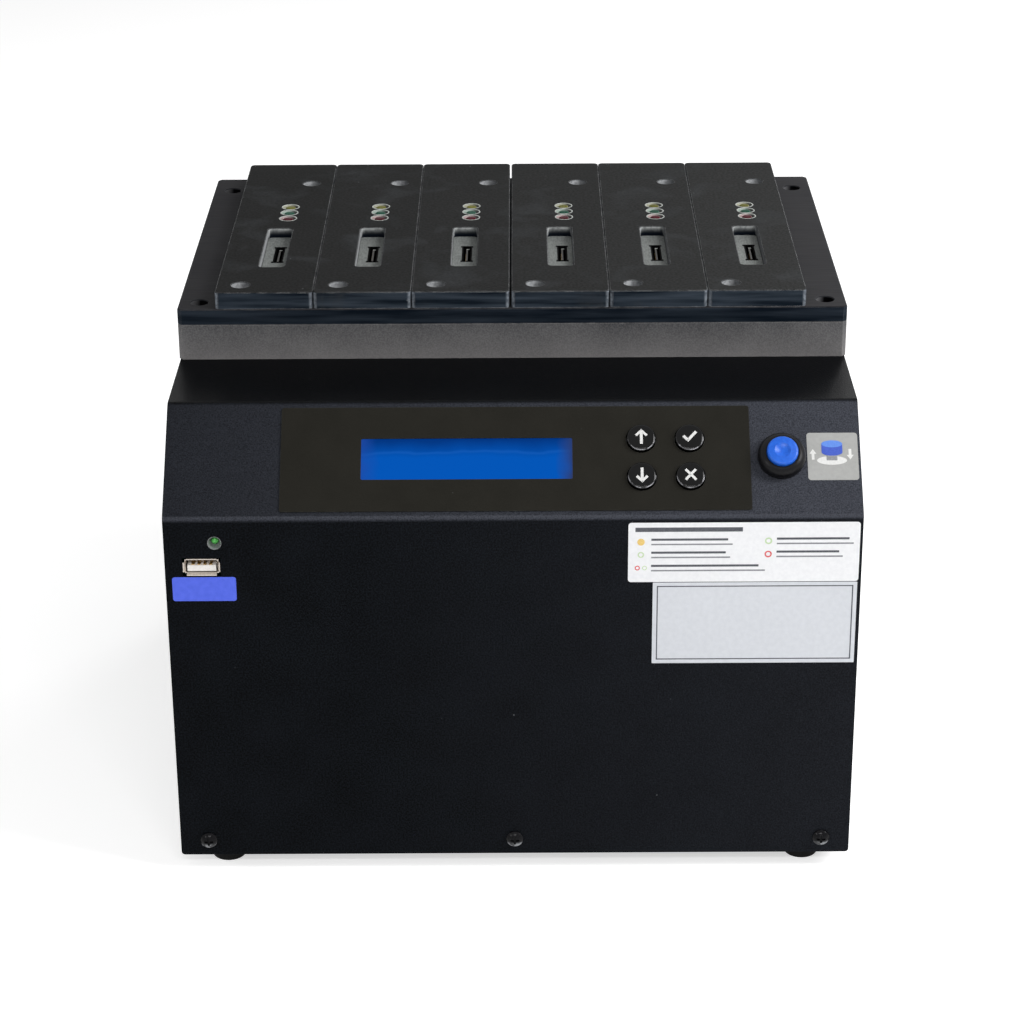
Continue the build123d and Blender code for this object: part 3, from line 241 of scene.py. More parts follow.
# %% [markdown]
# ## One recipe for a solid finish
#
# A finish starts from two tones that the grain mixes, then edge wear and dust are laid over them.
# The grain also drives a small bump and a change of roughness. Values that are the same all over,
# such as the specular level, are typed straight into the shader. Later steps lay more over a finish in
# the same way.


# %% Layers
def lay_over(material, share, colour):
    """Lay a colour, or a socket that gives one, over a finish where a mask is set."""
    tree = material.node_tree
    target = tree.nodes["Principled BSDF"].inputs["Base Color"]
    under = target.links[0].from_socket
    tree.links.new(blend_colours(tree, share, under, colour), target)


print("layers ready")

# %% Finish recipe
lint_grey = rgb(0.30, 0.31, 0.33)
bump_depth = 0.0001


def finish(
    name,
    dark,
    light,
    grain=1500.0,
    bump=0.1,
    rough=(0.5, 0.6),
    specular=0.5,
    metallic=0.0,
    worn=None,
    wear=0.0,
    wear_radius=0.0004,
    spread=0.0,
    dust=0.0,
    dust_scale=260.0,
    stretch=(1.0, 1.0, 1.0),
    contrast=(0.35, 0.65),
    cloudy=0.4,
    sides=None,
):
    material = bpy.data.materials.new(name)
    material.use_nodes = True
    tree = material.node_tree
    shader = tree.nodes["Principled BSDF"]
    place = place_on(tree)
    drawn = put(tree, "Mapping", {"Vector": place, "Scale": stretch}).outputs["Vector"]
    texture = effect(tree, "fine_grain", Vector=drawn, Scale=grain)
    fine, cloud = texture["Height"], texture["Cloud"]
    share = maths(tree, "MULTIPLY", fit(tree, fine, *contrast), 1.0 - cloudy)
    share = maths(tree, "ADD", share, maths(tree, "MULTIPLY", cloud, cloudy))
    tree.links.new(blend_colours(tree, share, dark, light), shader.inputs["Base Color"])
    if sides:
        sawn = effect(tree, "sawn_sides", Vector=place)
        lay_over(material, sawn["Side"], blend_colours(tree, sawn["Streak"], *sides))
    if wear:
        rub = effect(tree, "edge_wear", Vector=place, Radius=wear_radius, Amount=wear, Spread=spread)
        lay_over(material, rub["Mask"], worn)
    if dust:
        fluff = effect(tree, "dust_specks", Vector=place, Scale=dust_scale, Amount=dust)
        lay_over(material, fluff["Mask"], lint_grey)
    tree.links.new(fit(tree, cloud, 0.0, 1.0, *rough), shader.inputs["Roughness"])
    raised = put(tree, "Bump", {"Strength": bump, "Distance": bump_depth, "Height": fine})
    tree.links.new(raised.outputs["Normal"], shader.inputs["Normal"])
    shader.inputs["Specular IOR Level"].default_value = specular
    shader.inputs["Metallic"].default_value = metallic
    return material


print("recipe ready")


# %% Painting
def paint(material, *names):
    """Give CAD solids a finish through their material slots."""
    for name in names:
        nodes[name].material_slots[0].material = material


print("solids to paint:", len(nodes))

# %% [markdown]
# ## The black case
#
# The cover and the tub are steel with a black powder coat. Powder coat is nearly black, slightly
# blue, and has a fine pebble that catches the light. Its gloss is low, so the white room hardly
# shows in it. Sheet edges are rubbed a little, and lint sits on it. A speckled painted sheen lies on
# the slope, along its bend and on the right of the front, and grows to the right. The normal's z says
# how far a face leans back, so a mask of it finds the slope and the bend, and the flat top gets
# painted shade, almost black.

# %% Powder coat
powder_black = finish(
    "powder_black",
    rgb(0.0, 0.0002, 0.0004),
    rgb(0.0062, 0.0078, 0.0106),
    bump=0.9,
    rough=(0.30, 0.36),
    specular=0.032,
    contrast=(0.40, 0.62),
    cloudy=0.25,
    worn=rgb(0.03, 0.03, 0.033),
    wear=0.5,
    dust=0.6,
    dust_scale=210.0,
)
print("made", powder_black.name)

# %% Painted sheen and shade on the powder coat
tree = powder_black.node_tree
place = place_on(tree)
across = axis(tree, place, "X")
lean = axis(tree, facing(tree), "Z")
sloped = overlap(tree, fit(tree, lean, 0.08, 0.4), fit(tree, lean, 0.95, 0.8))
on_slope = overlap(tree, sloped, fit(tree, across, -0.14, 0.12, 0.30, 1.0))
on_front = fit(tree, across, -0.06, 0.137, 0.0, 0.19)
bent = overlap(tree, fit(tree, lean, 0.06, 0.3), fit(tree, lean, 0.71, 0.55))
on_bend = overlap(tree, bent, fit(tree, across, -0.14, 0.10, 0.85, 1.3))
sheen_zones = maths(tree, "MAXIMUM", maths(tree, "MAXIMUM", on_slope, on_front), on_bend)
specks = noise(tree, place, 2200.0, Detail=3.0)
painted_sheen = overlap(tree, sheen_zones, fit(tree, specks, 0.34, 0.66, 0.38, 1.1))
# Painted sheen: a pale speckled film stands in for light on the slope, the bend and the front's right end.
lay_over(powder_black, painted_sheen, rgb(0.053, 0.0565, 0.070))
# Painted shade: the flat top is darkened almost to black.
painted_top_shade = fit(tree, lean, 0.92, 0.98, 0.0, 0.85)
lay_over(powder_black, painted_top_shade, rgb(0.0004, 0.0005, 0.0008))
paint(powder_black, "wrap_cover", "chassis_tub", "fan_guard")
print("dust film added to", powder_black.name)

# %% Screws
screw_black = finish(
    "screw_black",
    rgb(0.002, 0.002, 0.003),
    rgb(0.006, 0.006, 0.007),
    grain=2500.0,
    bump=0.05,
    rough=(0.14, 0.22),
    specular=0.1,
    worn=rgb(0.30, 0.30, 0.32),
    wear=0.25,
    wear_radius=0.0002,
    spread=-0.06,
)
tree = screw_black.node_tree
# Painted glint: a pale crescent on the lower rim of each screw head.
patch = noise(tree, place_on(tree), 400.0)
underside = fit(tree, axis(tree, facing(tree), "Z"), -0.2, -0.45)
painted_glint = overlap(tree, underside, fit(tree, patch, 0.42, 0.56, 0.15, 1.0))
lay_over(screw_black, painted_glint, rgb(0.34, 0.35, 0.37))
paint(screw_black, "cover_screws", "deck_screws", "foot_screws", "fan_screws")
print("made", screw_black.name)

# %% Feet
foot_rubber = finish(
    "foot_rubber",
    rgb(0.004, 0.004, 0.004),
    rgb(0.010, 0.010, 0.010),
    grain=1200.0,
    bump=0.15,
    rough=(0.7, 0.85),
    specular=0.15,
    dust=0.4,
)
paint(foot_rubber, "foot_front_left", "foot_front_right", "foot_rear_left", "foot_rear_right")
print("made", foot_rubber.name)

# %% [markdown]
# ## The deck
#
# The frame bar is a bead-blasted grey that grows paler towards its foot.
# The plate and the blocks are black engineering plate: charcoal on their broad faces, with sawn
# streaks along the edges and thin pale lines where the corners have been knocked.

# %% Frame bar
frame_grey = finish(
    "frame_grey",
    rgb(0.042, 0.043, 0.047),
    rgb(0.132, 0.131, 0.134),
    grain=1900.0,
    bump=0.25,
    rough=(0.6, 0.75),
    specular=0.1,
    worn=rgb(0.35, 0.33, 0.31),
    wear=0.7,
    dust=0.3,
)
frame_low, frame_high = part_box("deck_frame")
tree = frame_grey.node_tree
paler_foot = fit(tree, axis(tree, place_on(tree), "Z"), frame_high.z, frame_low.z, 0.0, 0.40)
lay_over(frame_grey, paler_foot, rgb(0.275, 0.262, 0.26))
paint(frame_grey, "deck_frame")
print("frame bar is", round((frame_high.z - frame_low.z) / mm, 1), "mm high")

# %% Deck plate
plate_black = finish(
    "plate_black",
    rgb(0.013, 0.013, 0.0145),
    rgb(0.030, 0.0295, 0.0325),
    grain=1300.0,
    bump=0.12,
    rough=(0.5, 0.64),
    specular=0.02,
    sides=(rgb(0.0035, 0.0065, 0.011), rgb(0.020, 0.027, 0.037)),
    worn=rgb(0.22, 0.23, 0.24),
    wear=0.35,
    dust=0.5,
    stretch=(0.03, 1.0, 1.0),
)
paint(plate_black, "deck_plate")
plate_low, plate_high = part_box("deck_plate")
print("plate is", round((plate_high.z - plate_low.z) / mm, 1), "mm thick")


# %% Bores of the deck plate
def inside(tree, value, low, high, edge, fade=0.2 * mm):
    """1 between two outer faces and 0 within an edge's width of either."""
    past_low = fit(tree, value, low + edge, low + edge + fade)
    return overlap(tree, past_low, fit(tree, value, high - edge, high - edge - fade))


plate_edge = 2.4 * mm
tree = plate_black.node_tree
place = place_on(tree)
in_bore = overlap(
    tree,
    effect(tree, "sawn_sides", Vector=place)["Side"],
    inside(tree, axis(tree, place, "X"), plate_low.x, plate_high.x, plate_edge),
    inside(tree, axis(tree, place, "Y"), plate_low.y, plate_high.y, plate_edge),
)
# Painted light and shade: bore walls turned to the right are painted pale grey, the rest near black.
turned = axis(tree, facing(tree), "X")
painted_bore_light = blend_colours(tree, fit(tree, turned, 0.0, 0.8), rgb(0.0015, 0.0015, 0.002), rgb(0.10, 0.10, 0.105))
lay_over(plate_black, in_bore, painted_bore_light)
print("bores start", round(plate_edge / mm, 1), "mm inside the outer faces")

# %% [markdown]
# ## The port blocks
#
# Each block is cut from black plate. Its top is cloudy with handling marks and its long edges are
# rubbed to thin pale lines. The walls of its slot and screw holes are bare at the rim, with painted
# shade deeper down and on the wall turned from the light, and its front corners get painted highlights
# as pale upright bands. One finish on all six would repeat the same marks, so a loop makes one for each
# block and measures from that block's own middle. Each block to the right takes a tone a step paler
# than the last, as painted light from the right.


# %% Handling marks
def handle(material, place, patchy):
    """Lay cloudy handling marks over a finish."""
    tree = material.node_tree
    smear = noise(tree, place, 42.0, Detail=6.0, Distortion=0.6)
    smudge = overlap(tree, fit(tree, smear, 0.52, 0.74), fit(tree, patchy, 0.3, 0.7, 0.25, 0.75))
    lay_over(material, smudge, rgb(0.038, 0.041, 0.044))


print("handling marks ready")

# %% Walls of slots and holes
hole_edge = 1.2 * mm
slot_half = 6.1 * mm


def bare_and_shaded_walls(material, offset, half, side, patchy):
    """Make the walls of slot and screw holes bare at the rim, with painted shade deeper down and on walls
    turned from the light.
    """
    tree = material.node_tree
    in_hole = overlap(
        tree,
        side,
        inside(tree, offset["X"], -half.x, half.x, hole_edge),
        inside(tree, offset["Y"], -half.y, half.y, hole_edge),
    )
    turned = facing(tree)
    faces_front = fit(tree, axis(tree, turned, "Y"), -0.5, -0.8)
    in_slot = fit(tree, maths(tree, "ABSOLUTE", offset["X"]), slot_half + 0.1 * mm, slot_half)
    slot_back = overlap(tree, faces_front, in_slot)
    bare_depth = fit(tree, slot_back, 0.0, 1.0, half.z - 4.6 * mm, half.z - 3.4 * mm)
    fade = fit(tree, slot_back, 0.0, 1.0, 1.4 * mm, 3.3 * mm)
    rise = maths(tree, "DIVIDE", maths(tree, "SUBTRACT", offset["Z"], bare_depth), fade)
    rise = maths(tree, "POWER", fit(tree, rise, 0.0, 1.0), fit(tree, slot_back, 0.0, 1.0, 1.0, 2.2))
    # Painted light and shade: walls turned to the right stay pale, while deeper wall and walls turned away
    # are painted dark.
    lit_side = fit(tree, axis(tree, turned, "X"), -0.7, 0.3, 0.4, 1.0)
    bare_and_lit = overlap(tree, rise, fit(tree, patchy, 0.25, 0.6, 0.45, 1.0), lit_side)
    rim = blend_colours(tree, slot_back, rgb(0.34, 0.35, 0.36), rgb(0.56, 0.58, 0.57))
    lay_over(material, in_hole, blend_colours(tree, bare_and_lit, rgb(0.004, 0.006, 0.010), rim))


print("slots are", round(2 * slot_half / mm, 1), "mm wide")

# %% Corner highlights
band_start, band_full = 1.7 * mm, 0.4 * mm


def corner_highlights(material, offset, half, side, patchy):
    """Lay painted highlights, as pale upright bands, over the block's corners."""
    tree = material.node_tree
    across, along = (maths(tree, "ABSOLUTE", offset[letter]) for letter in "XY")
    corner = overlap(
        tree,
        fit(tree, across, half.x - band_start, half.x - band_full),
        fit(tree, along, half.y - band_start, half.y - band_full),
    )
    highlight_band = overlap(tree, side, corner, fit(tree, patchy, 0.35, 0.6, 0.3, 0.9))
    lay_over(material, highlight_band, rgb(0.30, 0.33, 0.37))


print("bands start", round(band_start / mm, 1), "mm from a corner")


# %% Block finish
def block_finish(name, low, high, tone):
    """Black plate whose broad face is paler where the tone is higher; the tone carries painted light."""
    material = finish(
        name,
        rgb(0.0065 * tone, 0.0068 * tone, 0.0068 * tone),
        rgb(0.0225 * tone, 0.023 * tone, 0.023 * tone),
        grain=900.0,
        bump=0.12,
        rough=(0.5, 0.66),
        specular=0.014,
        worn=rgb(0.42, 0.43, 0.44),
        wear=0.9,
        wear_radius=0.00028,
        spread=0.08,
        dust=0.6,
        sides=(rgb(0.006, 0.010, 0.0155), rgb(0.040, 0.052, 0.068)),
    )
    tree = material.node_tree
    middle, half = (low + high) / 2, (high - low) / 2
    place = place_on(tree)
    local = put(tree, "VectorMath", {0: place, 1: middle}, operation="SUBTRACT").outputs["Vector"]
    offset = {letter: axis(tree, local, letter) for letter in "XYZ"}
    side = effect(tree, "sawn_sides", Vector=place)["Side"]
    patchy = noise(tree, place, 700.0, Detail=3.0)
    handle(material, place, patchy)
    bare_and_shaded_walls(material, offset, half, side, patchy)
    corner_highlights(material, offset, half, side, patchy)
    return material


ports = range(1, 7)
# Painted light: each block to the right is a step paler, as though more light from the right fell on it.
first_tone, painted_light_step = 0.82, 0.11
for i in ports:
    tone = first_tone + (i - 1) * painted_light_step
    paint(block_finish(f"block_black_{i}", *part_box(f"port_block_{i}"), tone), f"port_block_{i}")
print("six block finishes")

# %% [markdown]
# ## Slot floors, connectors and screws
#
# The floor of each slot is a bare grey plate with drawn lines and stains. The connector in it is dull
# black, so it reads as a dark shape on the grey. The socket screws sit deep in their bores.

# %% Slot floors and connectors
liner_grey = finish(
    "liner_grey",
    rgb(0.13, 0.138, 0.135),
    rgb(0.27, 0.285, 0.275),
    grain=1900.0,
    bump=0.12,
    rough=(0.55, 0.7),
    specular=0.05,
    stretch=(1.0, 0.3, 1.0),
)
paint(liner_grey, "slot_liners")

connector_black = finish(
    "connector_black",
    rgb(0.0012, 0.0012, 0.0014),
    rgb(0.004, 0.004, 0.0045),
    grain=2400.0,
    rough=(0.6, 0.75),
    specular=0.012,
)
paint(connector_black, *[f"port_connector_{i}" for i in ports])
print("made", liner_grey.name, "and", connector_black.name)

# %% Steel screws
screw_steel = finish(
    "screw_steel",
    rgb(0.34, 0.34, 0.35),
    rgb(0.55, 0.55, 0.56),
    grain=1800.0,
    bump=0.08,
    rough=(0.28, 0.42),
    metallic=1.0,
)
paint(screw_steel, "block_screws", "button_nut", "board_standoffs")
print("made", screw_steel.name)

# %% [markdown]
# ## The lamps
#
# Each port has three lamps in pale conical sleeves. They are off, so the lenses are dark tinted plastic,
# and the cone round each is painted with its lens's coloured light, with painted shade on the wall turned
# from the light. All eighteen sleeves are one solid with one finish. The rows differ in y, so a mask of y
# tells the finish which colour belongs to which row, and the flat rims stay pale.


# %% Lamp finishes
def lens(name, deep, bright):
    return finish(name, deep, bright, grain=800.0, bump=0.02, rough=(0.10, 0.18), specular=0.015)


paint(lens("lens_yellow", rgb(0.07, 0.068, 0.008), rgb(0.17, 0.165, 0.03)), "yellow_leds")
paint(lens("lens_green", rgb(0.005, 0.035, 0.021), rgb(0.014, 0.085, 0.052)), "green_leds")
paint(lens("lens_red", rgb(0.03, 0.001, 0.004), rgb(0.08, 0.003, 0.011)), "red_leds")
paint(lens("lens_bright_green", rgb(0.05, 0.36, 0.06), rgb(0.18, 0.66, 0.17)), "status_led")
print("lenses of", [name for name in nodes if name.endswith("led") or name.endswith("leds")])

# %% Lamp sleeves
sleeve_white = finish(
    "sleeve_white",
    rgb(0.33, 0.35, 0.33),
    rgb(0.52, 0.54, 0.51),
    bump=0.05,
    rough=(0.35, 0.5),
    specular=0.15,
)
sleeve_tinted = sleeve_white.copy()
sleeve_tinted.name = "sleeve_tinted"
tree = sleeve_tinted.node_tree
place = place_on(tree)
depth = axis(tree, place, "Y")
green_low, green_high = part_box("green_leds")
green_row, half_pitch, seam = (green_low.y + green_high.y) / 2, 4.05 * mm, 0.05 * mm
back_seam, front_seam = green_row + half_pitch, green_row - half_pitch
is_back = fit(tree, depth, back_seam - seam, back_seam + seam)
is_front = fit(tree, depth, front_seam + seam, front_seam - seam)
# Painted coloured light and shade: each row's cone takes its lens's colour, and the wall turned from the
# light is painted dark.
lens_light_and_shade = blend_colours(tree, is_back, rgb(0.30, 0.37, 0.33), rgb(0.34, 0.34, 0.26))
lens_light_and_shade = blend_colours(tree, is_front, lens_light_and_shade, rgb(0.38, 0.28, 0.28))
lit_side = fit(tree, axis(tree, facing(tree), "X"), -0.75, 0.05)
lens_light_and_shade = blend_colours(tree, lit_side, rgb(0.06, 0.06, 0.06), lens_light_and_shade)
side = effect(tree, "sawn_sides", Vector=place)["Side"]
lay_over(sleeve_tinted, side, lens_light_and_shade)
paint(sleeve_tinted, "led_sleeves")
print("lamp rows tinted about y", round(green_row, 4))

# %% The front lamp's cup
cup_grey = finish("cup_grey", rgb(0.15, 0.16, 0.16), rgb(0.24, 0.25, 0.25), bump=0.05, rough=(0.16, 0.26))
paint(cup_grey, "led_holder")
print("made", cup_grey.name)

# %% [markdown]
# ## The control panel
#
# The panel is a dark olive film with a satin print. The keys are gloss black domes, with a painted
# highlight, a thin pale line, along the lower rim. The push button is blue moulded plastic in
# a black bezel. The slope's own directions are named here, because the rim mask needs them.

# %% The slope's directions
case_front, foot_height, front_height = -138.0, 7.0, 148.5
slope_run, slope_rise = 36.1, 33.8
slope_foot = Vector((0.0, case_front, foot_height + front_height))
slope_origin = (slope_foot + Vector((0.0, slope_run, slope_rise)) / 2) * mm
slope_up = Vector((0.0, slope_run, slope_rise)).normalized()
slope_out = Vector((0.0, -slope_rise, slope_run)).normalized()
slope_tilt = math.atan2(slope_up.z, slope_up.y)
print("slope leans back", round(math.degrees(slope_tilt), 1), "degrees")

# %% Panel film
overlay_film = finish(
    "overlay_film",
    rgb(0.0118, 0.0111, 0.0088),
    rgb(0.0172, 0.0162, 0.0130),
    grain=2600.0,
    bump=0.06,
    rough=(0.42, 0.5),
    specular=0.05,
    worn=rgb(0.10, 0.10, 0.09),
    wear=0.4,
    wear_radius=0.0003,
    dust=0.15,
)
paint(overlay_film, "control_overlay")
print("made", overlay_film.name)

# %% Keys
key_black = finish(
    "key_black",
    rgb(0.0004, 0.0004, 0.0005),
    rgb(0.0012, 0.0012, 0.0014),
    grain=1200.0,
    bump=0.02,
    rough=(0.04, 0.07),
    specular=0.2,
)
tree = key_black.node_tree
# Painted glint: a thin pale line on the lower rim of each key dome.
turned = facing(tree)
upright = agreement(tree, turned, slope_out)
on_rim = overlap(tree, fit(tree, upright, 0.86, 0.78), fit(tree, upright, 0.50, 0.62))
low_rim = overlap(tree, on_rim, fit(tree, agreement(tree, turned, slope_up), 0.05, -0.2))
patch = noise(tree, place_on(tree), 300.0)
painted_glint = overlap(tree, low_rim, fit(tree, patch, 0.44, 0.56, 0.1, 1.0))
lay_over(key_black, painted_glint, rgb(0.34, 0.34, 0.36))
paint(key_black, "key_up", "key_ok", "key_down", "key_cancel")
print("made", key_black.name)

# %% Push button
button_blue = finish(
    "button_blue",
    rgb(0.003, 0.075, 0.47),
    rgb(0.010, 0.115, 0.60),
    grain=900.0,
    bump=0.03,
    rough=(0.26, 0.36),
    specular=0.35,
)
paint(button_blue, "button_cap")

bezel_black = finish(
    "bezel_black",
    rgb(0.003, 0.003, 0.004),
    rgb(0.008, 0.008, 0.009),
    grain=1700.0,
    bump=0.06,
    rough=(0.30, 0.40),
    specular=0.14,
)
paint(bezel_black, "button_bezel", "key_switches", "mains_inlet", "fan_frame", "fan_rotor")
print("made", button_blue.name, "and", bezel_black.name)

# %% [markdown]
# ## The display
#
# A backlit display glows by itself, so its colour goes to the shader's emission. The glow isn't even:
# it is darker along the top edge, where the frame shades it, and grey-violet at the ends.
# A Mapping node turns the pattern so that its y runs up the slope of the panel.

# %% Display pattern
glass_low, glass_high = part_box("lcd_glass")
glass_middle = (glass_low + glass_high) / 2

display_blue = bpy.data.materials.new("display_blue")
display_blue.use_nodes = True
tree = display_blue.node_tree
shader = tree.nodes["Principled BSDF"]
flat = put(
    tree,
    "Mapping",
    {"Vector": place_on(tree), "Location": glass_middle, "Rotation": (slope_tilt, 0.0, 0.0)},
    vector_type="TEXTURE",
).outputs["Vector"]
ripple = noise(tree, flat, 60.0, Detail=2.0)
reach_x = maths(tree, "ADD", axis(tree, flat, "X"), fit(tree, ripple, 0.3, 0.7, -2.0 * mm, 2.0 * mm))
reach_y = maths(tree, "ADD", axis(tree, flat, "Y"), fit(tree, ripple, 0.3, 0.7, -0.9 * mm, 0.9 * mm))
print("display middle", tuple(round(v, 4) for v in glass_middle))

# %% Display glow
shaded_top = fit(tree, reach_y, 0.8 * mm, 8.2 * mm)
glow = blend_colours(tree, shaded_top, rgb(0.0, 0.088, 0.46), rgb(0.0, 0.036, 0.215))
streak_height, streak_half = 3.0 * mm, 0.9 * mm
off_streak = maths(tree, "ABSOLUTE", maths(tree, "SUBTRACT", reach_y, streak_height))
glow = blend_colours(tree, fit(tree, off_streak, streak_half, 0.0, 0.0, 0.35), glow, rgb(0.012, 0.125, 0.52))
right_end = fit(tree, reach_x, 34.5 * mm, 40.5 * mm)
glow = blend_colours(tree, right_end, glow, rgb(0.024, 0.048, 0.172))
left_end = fit(tree, reach_x, -34.0 * mm, -40.8 * mm, 0.0, 0.8)
glow = blend_colours(tree, left_end, glow, rgb(0.014, 0.066, 0.36))
tree.links.new(glow, shader.inputs["Emission Color"])
tree.links.new(blend_colours(tree, 0.1, rgb(0.0, 0.0, 0.0), glow), shader.inputs["Base Color"])
tree.links.new(fit(tree, ripple, 0.3, 0.7, 0.12, 0.2), shader.inputs["Roughness"])
shader.inputs["Emission Strength"].default_value = 0.92
shader.inputs["Specular IOR Level"].default_value = 0.02
paint(display_blue, "lcd_glass")
print("made", display_blue.name, "with", len(tree.nodes), "nodes")

# %% [markdown]
# ## Socket, boards and the other pieces inside
#
# The USB shell is nickel-plated steel round a cream plastic tongue with gold contacts. The boards,
# the heat sink and the power supply sit inside the case. They show through the vents and the fan, so
# they get a plain finish too.

# %% Socket and inlet
usb_steel = finish(
    "usb_steel",
    rgb(0.40, 0.35, 0.31),
    rgb(0.60, 0.55, 0.49),
    bump=0.05,
    rough=(0.3, 0.4),
    metallic=0.85,
)
paint(usb_steel, "usb_shell")
usb_cream = finish(
    "usb_cream", rgb(0.84, 0.80, 0.75), rgb(0.93, 0.91, 0.88), rough=(0.45, 0.55), specular=0.4
)
paint(usb_cream, "usb_tongue")
contact_gold = finish(
    "contact_gold", rgb(0.50, 0.30, 0.08), rgb(0.75, 0.50, 0.18), rough=(0.25, 0.35), metallic=1.0
)
paint(contact_gold, "usb_contacts")
pin_nickel = finish(
    "pin_nickel", rgb(0.45, 0.45, 0.44), rgb(0.65, 0.65, 0.64), rough=(0.2, 0.3), metallic=1.0
)
paint(pin_nickel, "inlet_pins")
rocker_black = finish(
    "rocker_black", rgb(0.004, 0.004, 0.004), rgb(0.008, 0.008, 0.008), rough=(0.2, 0.28), specular=0.35
)
paint(rocker_black, "power_rocker")
print("made", usb_steel.name, usb_cream.name, contact_gold.name, pin_nickel.name, rocker_black.name)

# %% Boards and bare metal
board_green = finish(
    "board_green", rgb(0.004, 0.07, 0.030), rgb(0.012, 0.14, 0.060), grain=500.0, rough=(0.3, 0.45)
)
paint(board_green, "lcd_module", "key_board", "front_io_board", "main_board", "backplane_board")
ribbon_grey = finish(
    "ribbon_grey", rgb(0.25, 0.26, 0.28), rgb(0.42, 0.43, 0.45), grain=900.0, stretch=(1.0, 0.02, 0.02)
)
paint(ribbon_grey, "data_ribbon")
bare_aluminium = finish(
    "bare_aluminium",
    rgb(0.48, 0.49, 0.50),
    rgb(0.66, 0.67, 0.68),
    grain=900.0,
    rough=(0.3, 0.45),
    metallic=1.0,
    stretch=(1.0, 0.04, 1.0),
)
paint(bare_aluminium, "heat_sink", "power_supply")
dressed = {node.material_slots[0].material.name for node in nodes.values()}
print("finishes made:", len(bpy.data.materials), "and in use on the solids:", len(dressed))

# %% [markdown]
# ## Making flat pieces
#
# Labels, printed marks and key signs are all thin flat pieces. Each is drawn on the XY plane, in
# millimetres, as a plate with rounded corners, a ring or a few-sided outline, and given a real
# thickness. A matrix then carries it to the front or to the slope. The place goes into the mesh, so
# the object itself stays at the origin.

# %% Planes to draw on
front_foot = Vector((0.0, case_front, foot_height)) * mm
front_plane = Matrix.Translation(front_foot) @ Matrix.Rotation(math.radians(90), 4, "X")
slope_plane = Matrix.Translation(slope_origin) @ Matrix.Rotation(slope_tilt, 4, "X")
level_plane = Matrix.Identity(4)
print("slope's middle at", tuple(round(v, 4) for v in slope_origin))


# %% Plates
def rounded_plate(bm, x0, y0, x1, y1, low, high, corner=0.0):
    size = Matrix.Diagonal((x1 - x0, y1 - y0, high - low, 1.0))
    middle = Matrix.Translation(((x0 + x1) / 2, (y0 + y1) / 2, (low + high) / 2))
    made = bmesh.ops.create_cube(bm, size=1.0, matrix=middle @ size)
    if corner:
        standing = [
            e
            for e in {e for v in made["verts"] for e in v.link_edges}
            if abs((e.verts[0].co - e.verts[1].co).normalized().z) > 0.9
        ]
        bmesh.ops.bevel(
            bm, geom=standing, offset=corner, segments=5, profile=0.5, affect="EDGES", material=-1
        )


print("plates ready")


# %% Rings and outlines
def ring(bm, x, y, inner, outer, low, high, steps=40, squeeze=1.0):
    """A flat ring, or a disc where the inner radius is 0, spun from the edges of its half section."""
    before = set(bm.verts)
    corners = [(inner, low), (outer, low), (outer, high), (inner, high)]
    section = [bm.verts.new((radius, 0.0, z)) for radius, z in corners]
    pairs = list(zip(section, section[1:])) + ([(section[3], section[0])] if inner else [])
    edges = [bm.edges.new(pair) for pair in pairs]
    turn = {"axis": (0.0, 0.0, 1.0), "cent": (0.0, 0.0, 0.0), "angle": 2 * math.pi}
    bmesh.ops.spin(bm, geom=[*section, *edges], steps=steps, use_merge=True, **turn)
    spun = [v for v in bm.verts if v not in before]
    bmesh.ops.scale(bm, vec=(1.0, squeeze, 1.0), verts=spun)
    bmesh.ops.translate(bm, vec=(x, y, 0.0), verts=spun)


def outline(bm, points, low, high):
    """A few-sided outline, raised from low to high."""
    base = bm.faces.new([bm.verts.new((x, y, low)) for x, y in points])
    raised = bmesh.ops.extrude_face_region(bm, geom=[base])
    tops = [v for v in raised["geom"] if isinstance(v, bmesh.types.BMVert)]
    bmesh.ops.translate(bm, vec=(0.0, 0.0, high - low), verts=tops)


print("rings and outlines ready")


# %% Handing a piece over
def make_piece(name, bm, plane, material, body="case"):
    """Scale a drawing from millimetres, carry it to its plane and hand it over as one object."""
    bmesh.ops.transform(bm, matrix=plane @ Matrix.Diagonal((mm, mm, mm, 1.0)), verts=bm.verts)
    bmesh.ops.remove_doubles(bm, verts=bm.verts, dist=1e-7)
    bmesh.ops.recalc_face_normals(bm, faces=bm.faces)
    mesh = bpy.data.meshes.new(name)
    bm.to_mesh(mesh)
    bm.free()
    mesh.materials.append(material)
    piece = bpy.data.objects.new(name, mesh)
    scene.collection.objects.link(piece)
    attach(piece, body)
    print("made", name, "with", len(mesh.polygons), "faces")


# %% [markdown]
# ## Labels on the front
#
# Three stickers are stuck to the front. The white one carries a colour key of small lamp signs with
# plain lines beside them, the pale one a printed border, and the blue one is plain. Sticker paper is
# satin and a little uneven, so each has two tones. The inks lie a hair above the paper.


# %% Label finishes
def sticker(name, dark, light, grain, rough):
    return finish(name, dark, light, grain=grain, rough=rough, specular=0.3)


def ink_of(name, dark, light, rough=(0.5, 0.6), specular=0.5):
    return finish(name, dark, light, rough=rough, specular=specular)


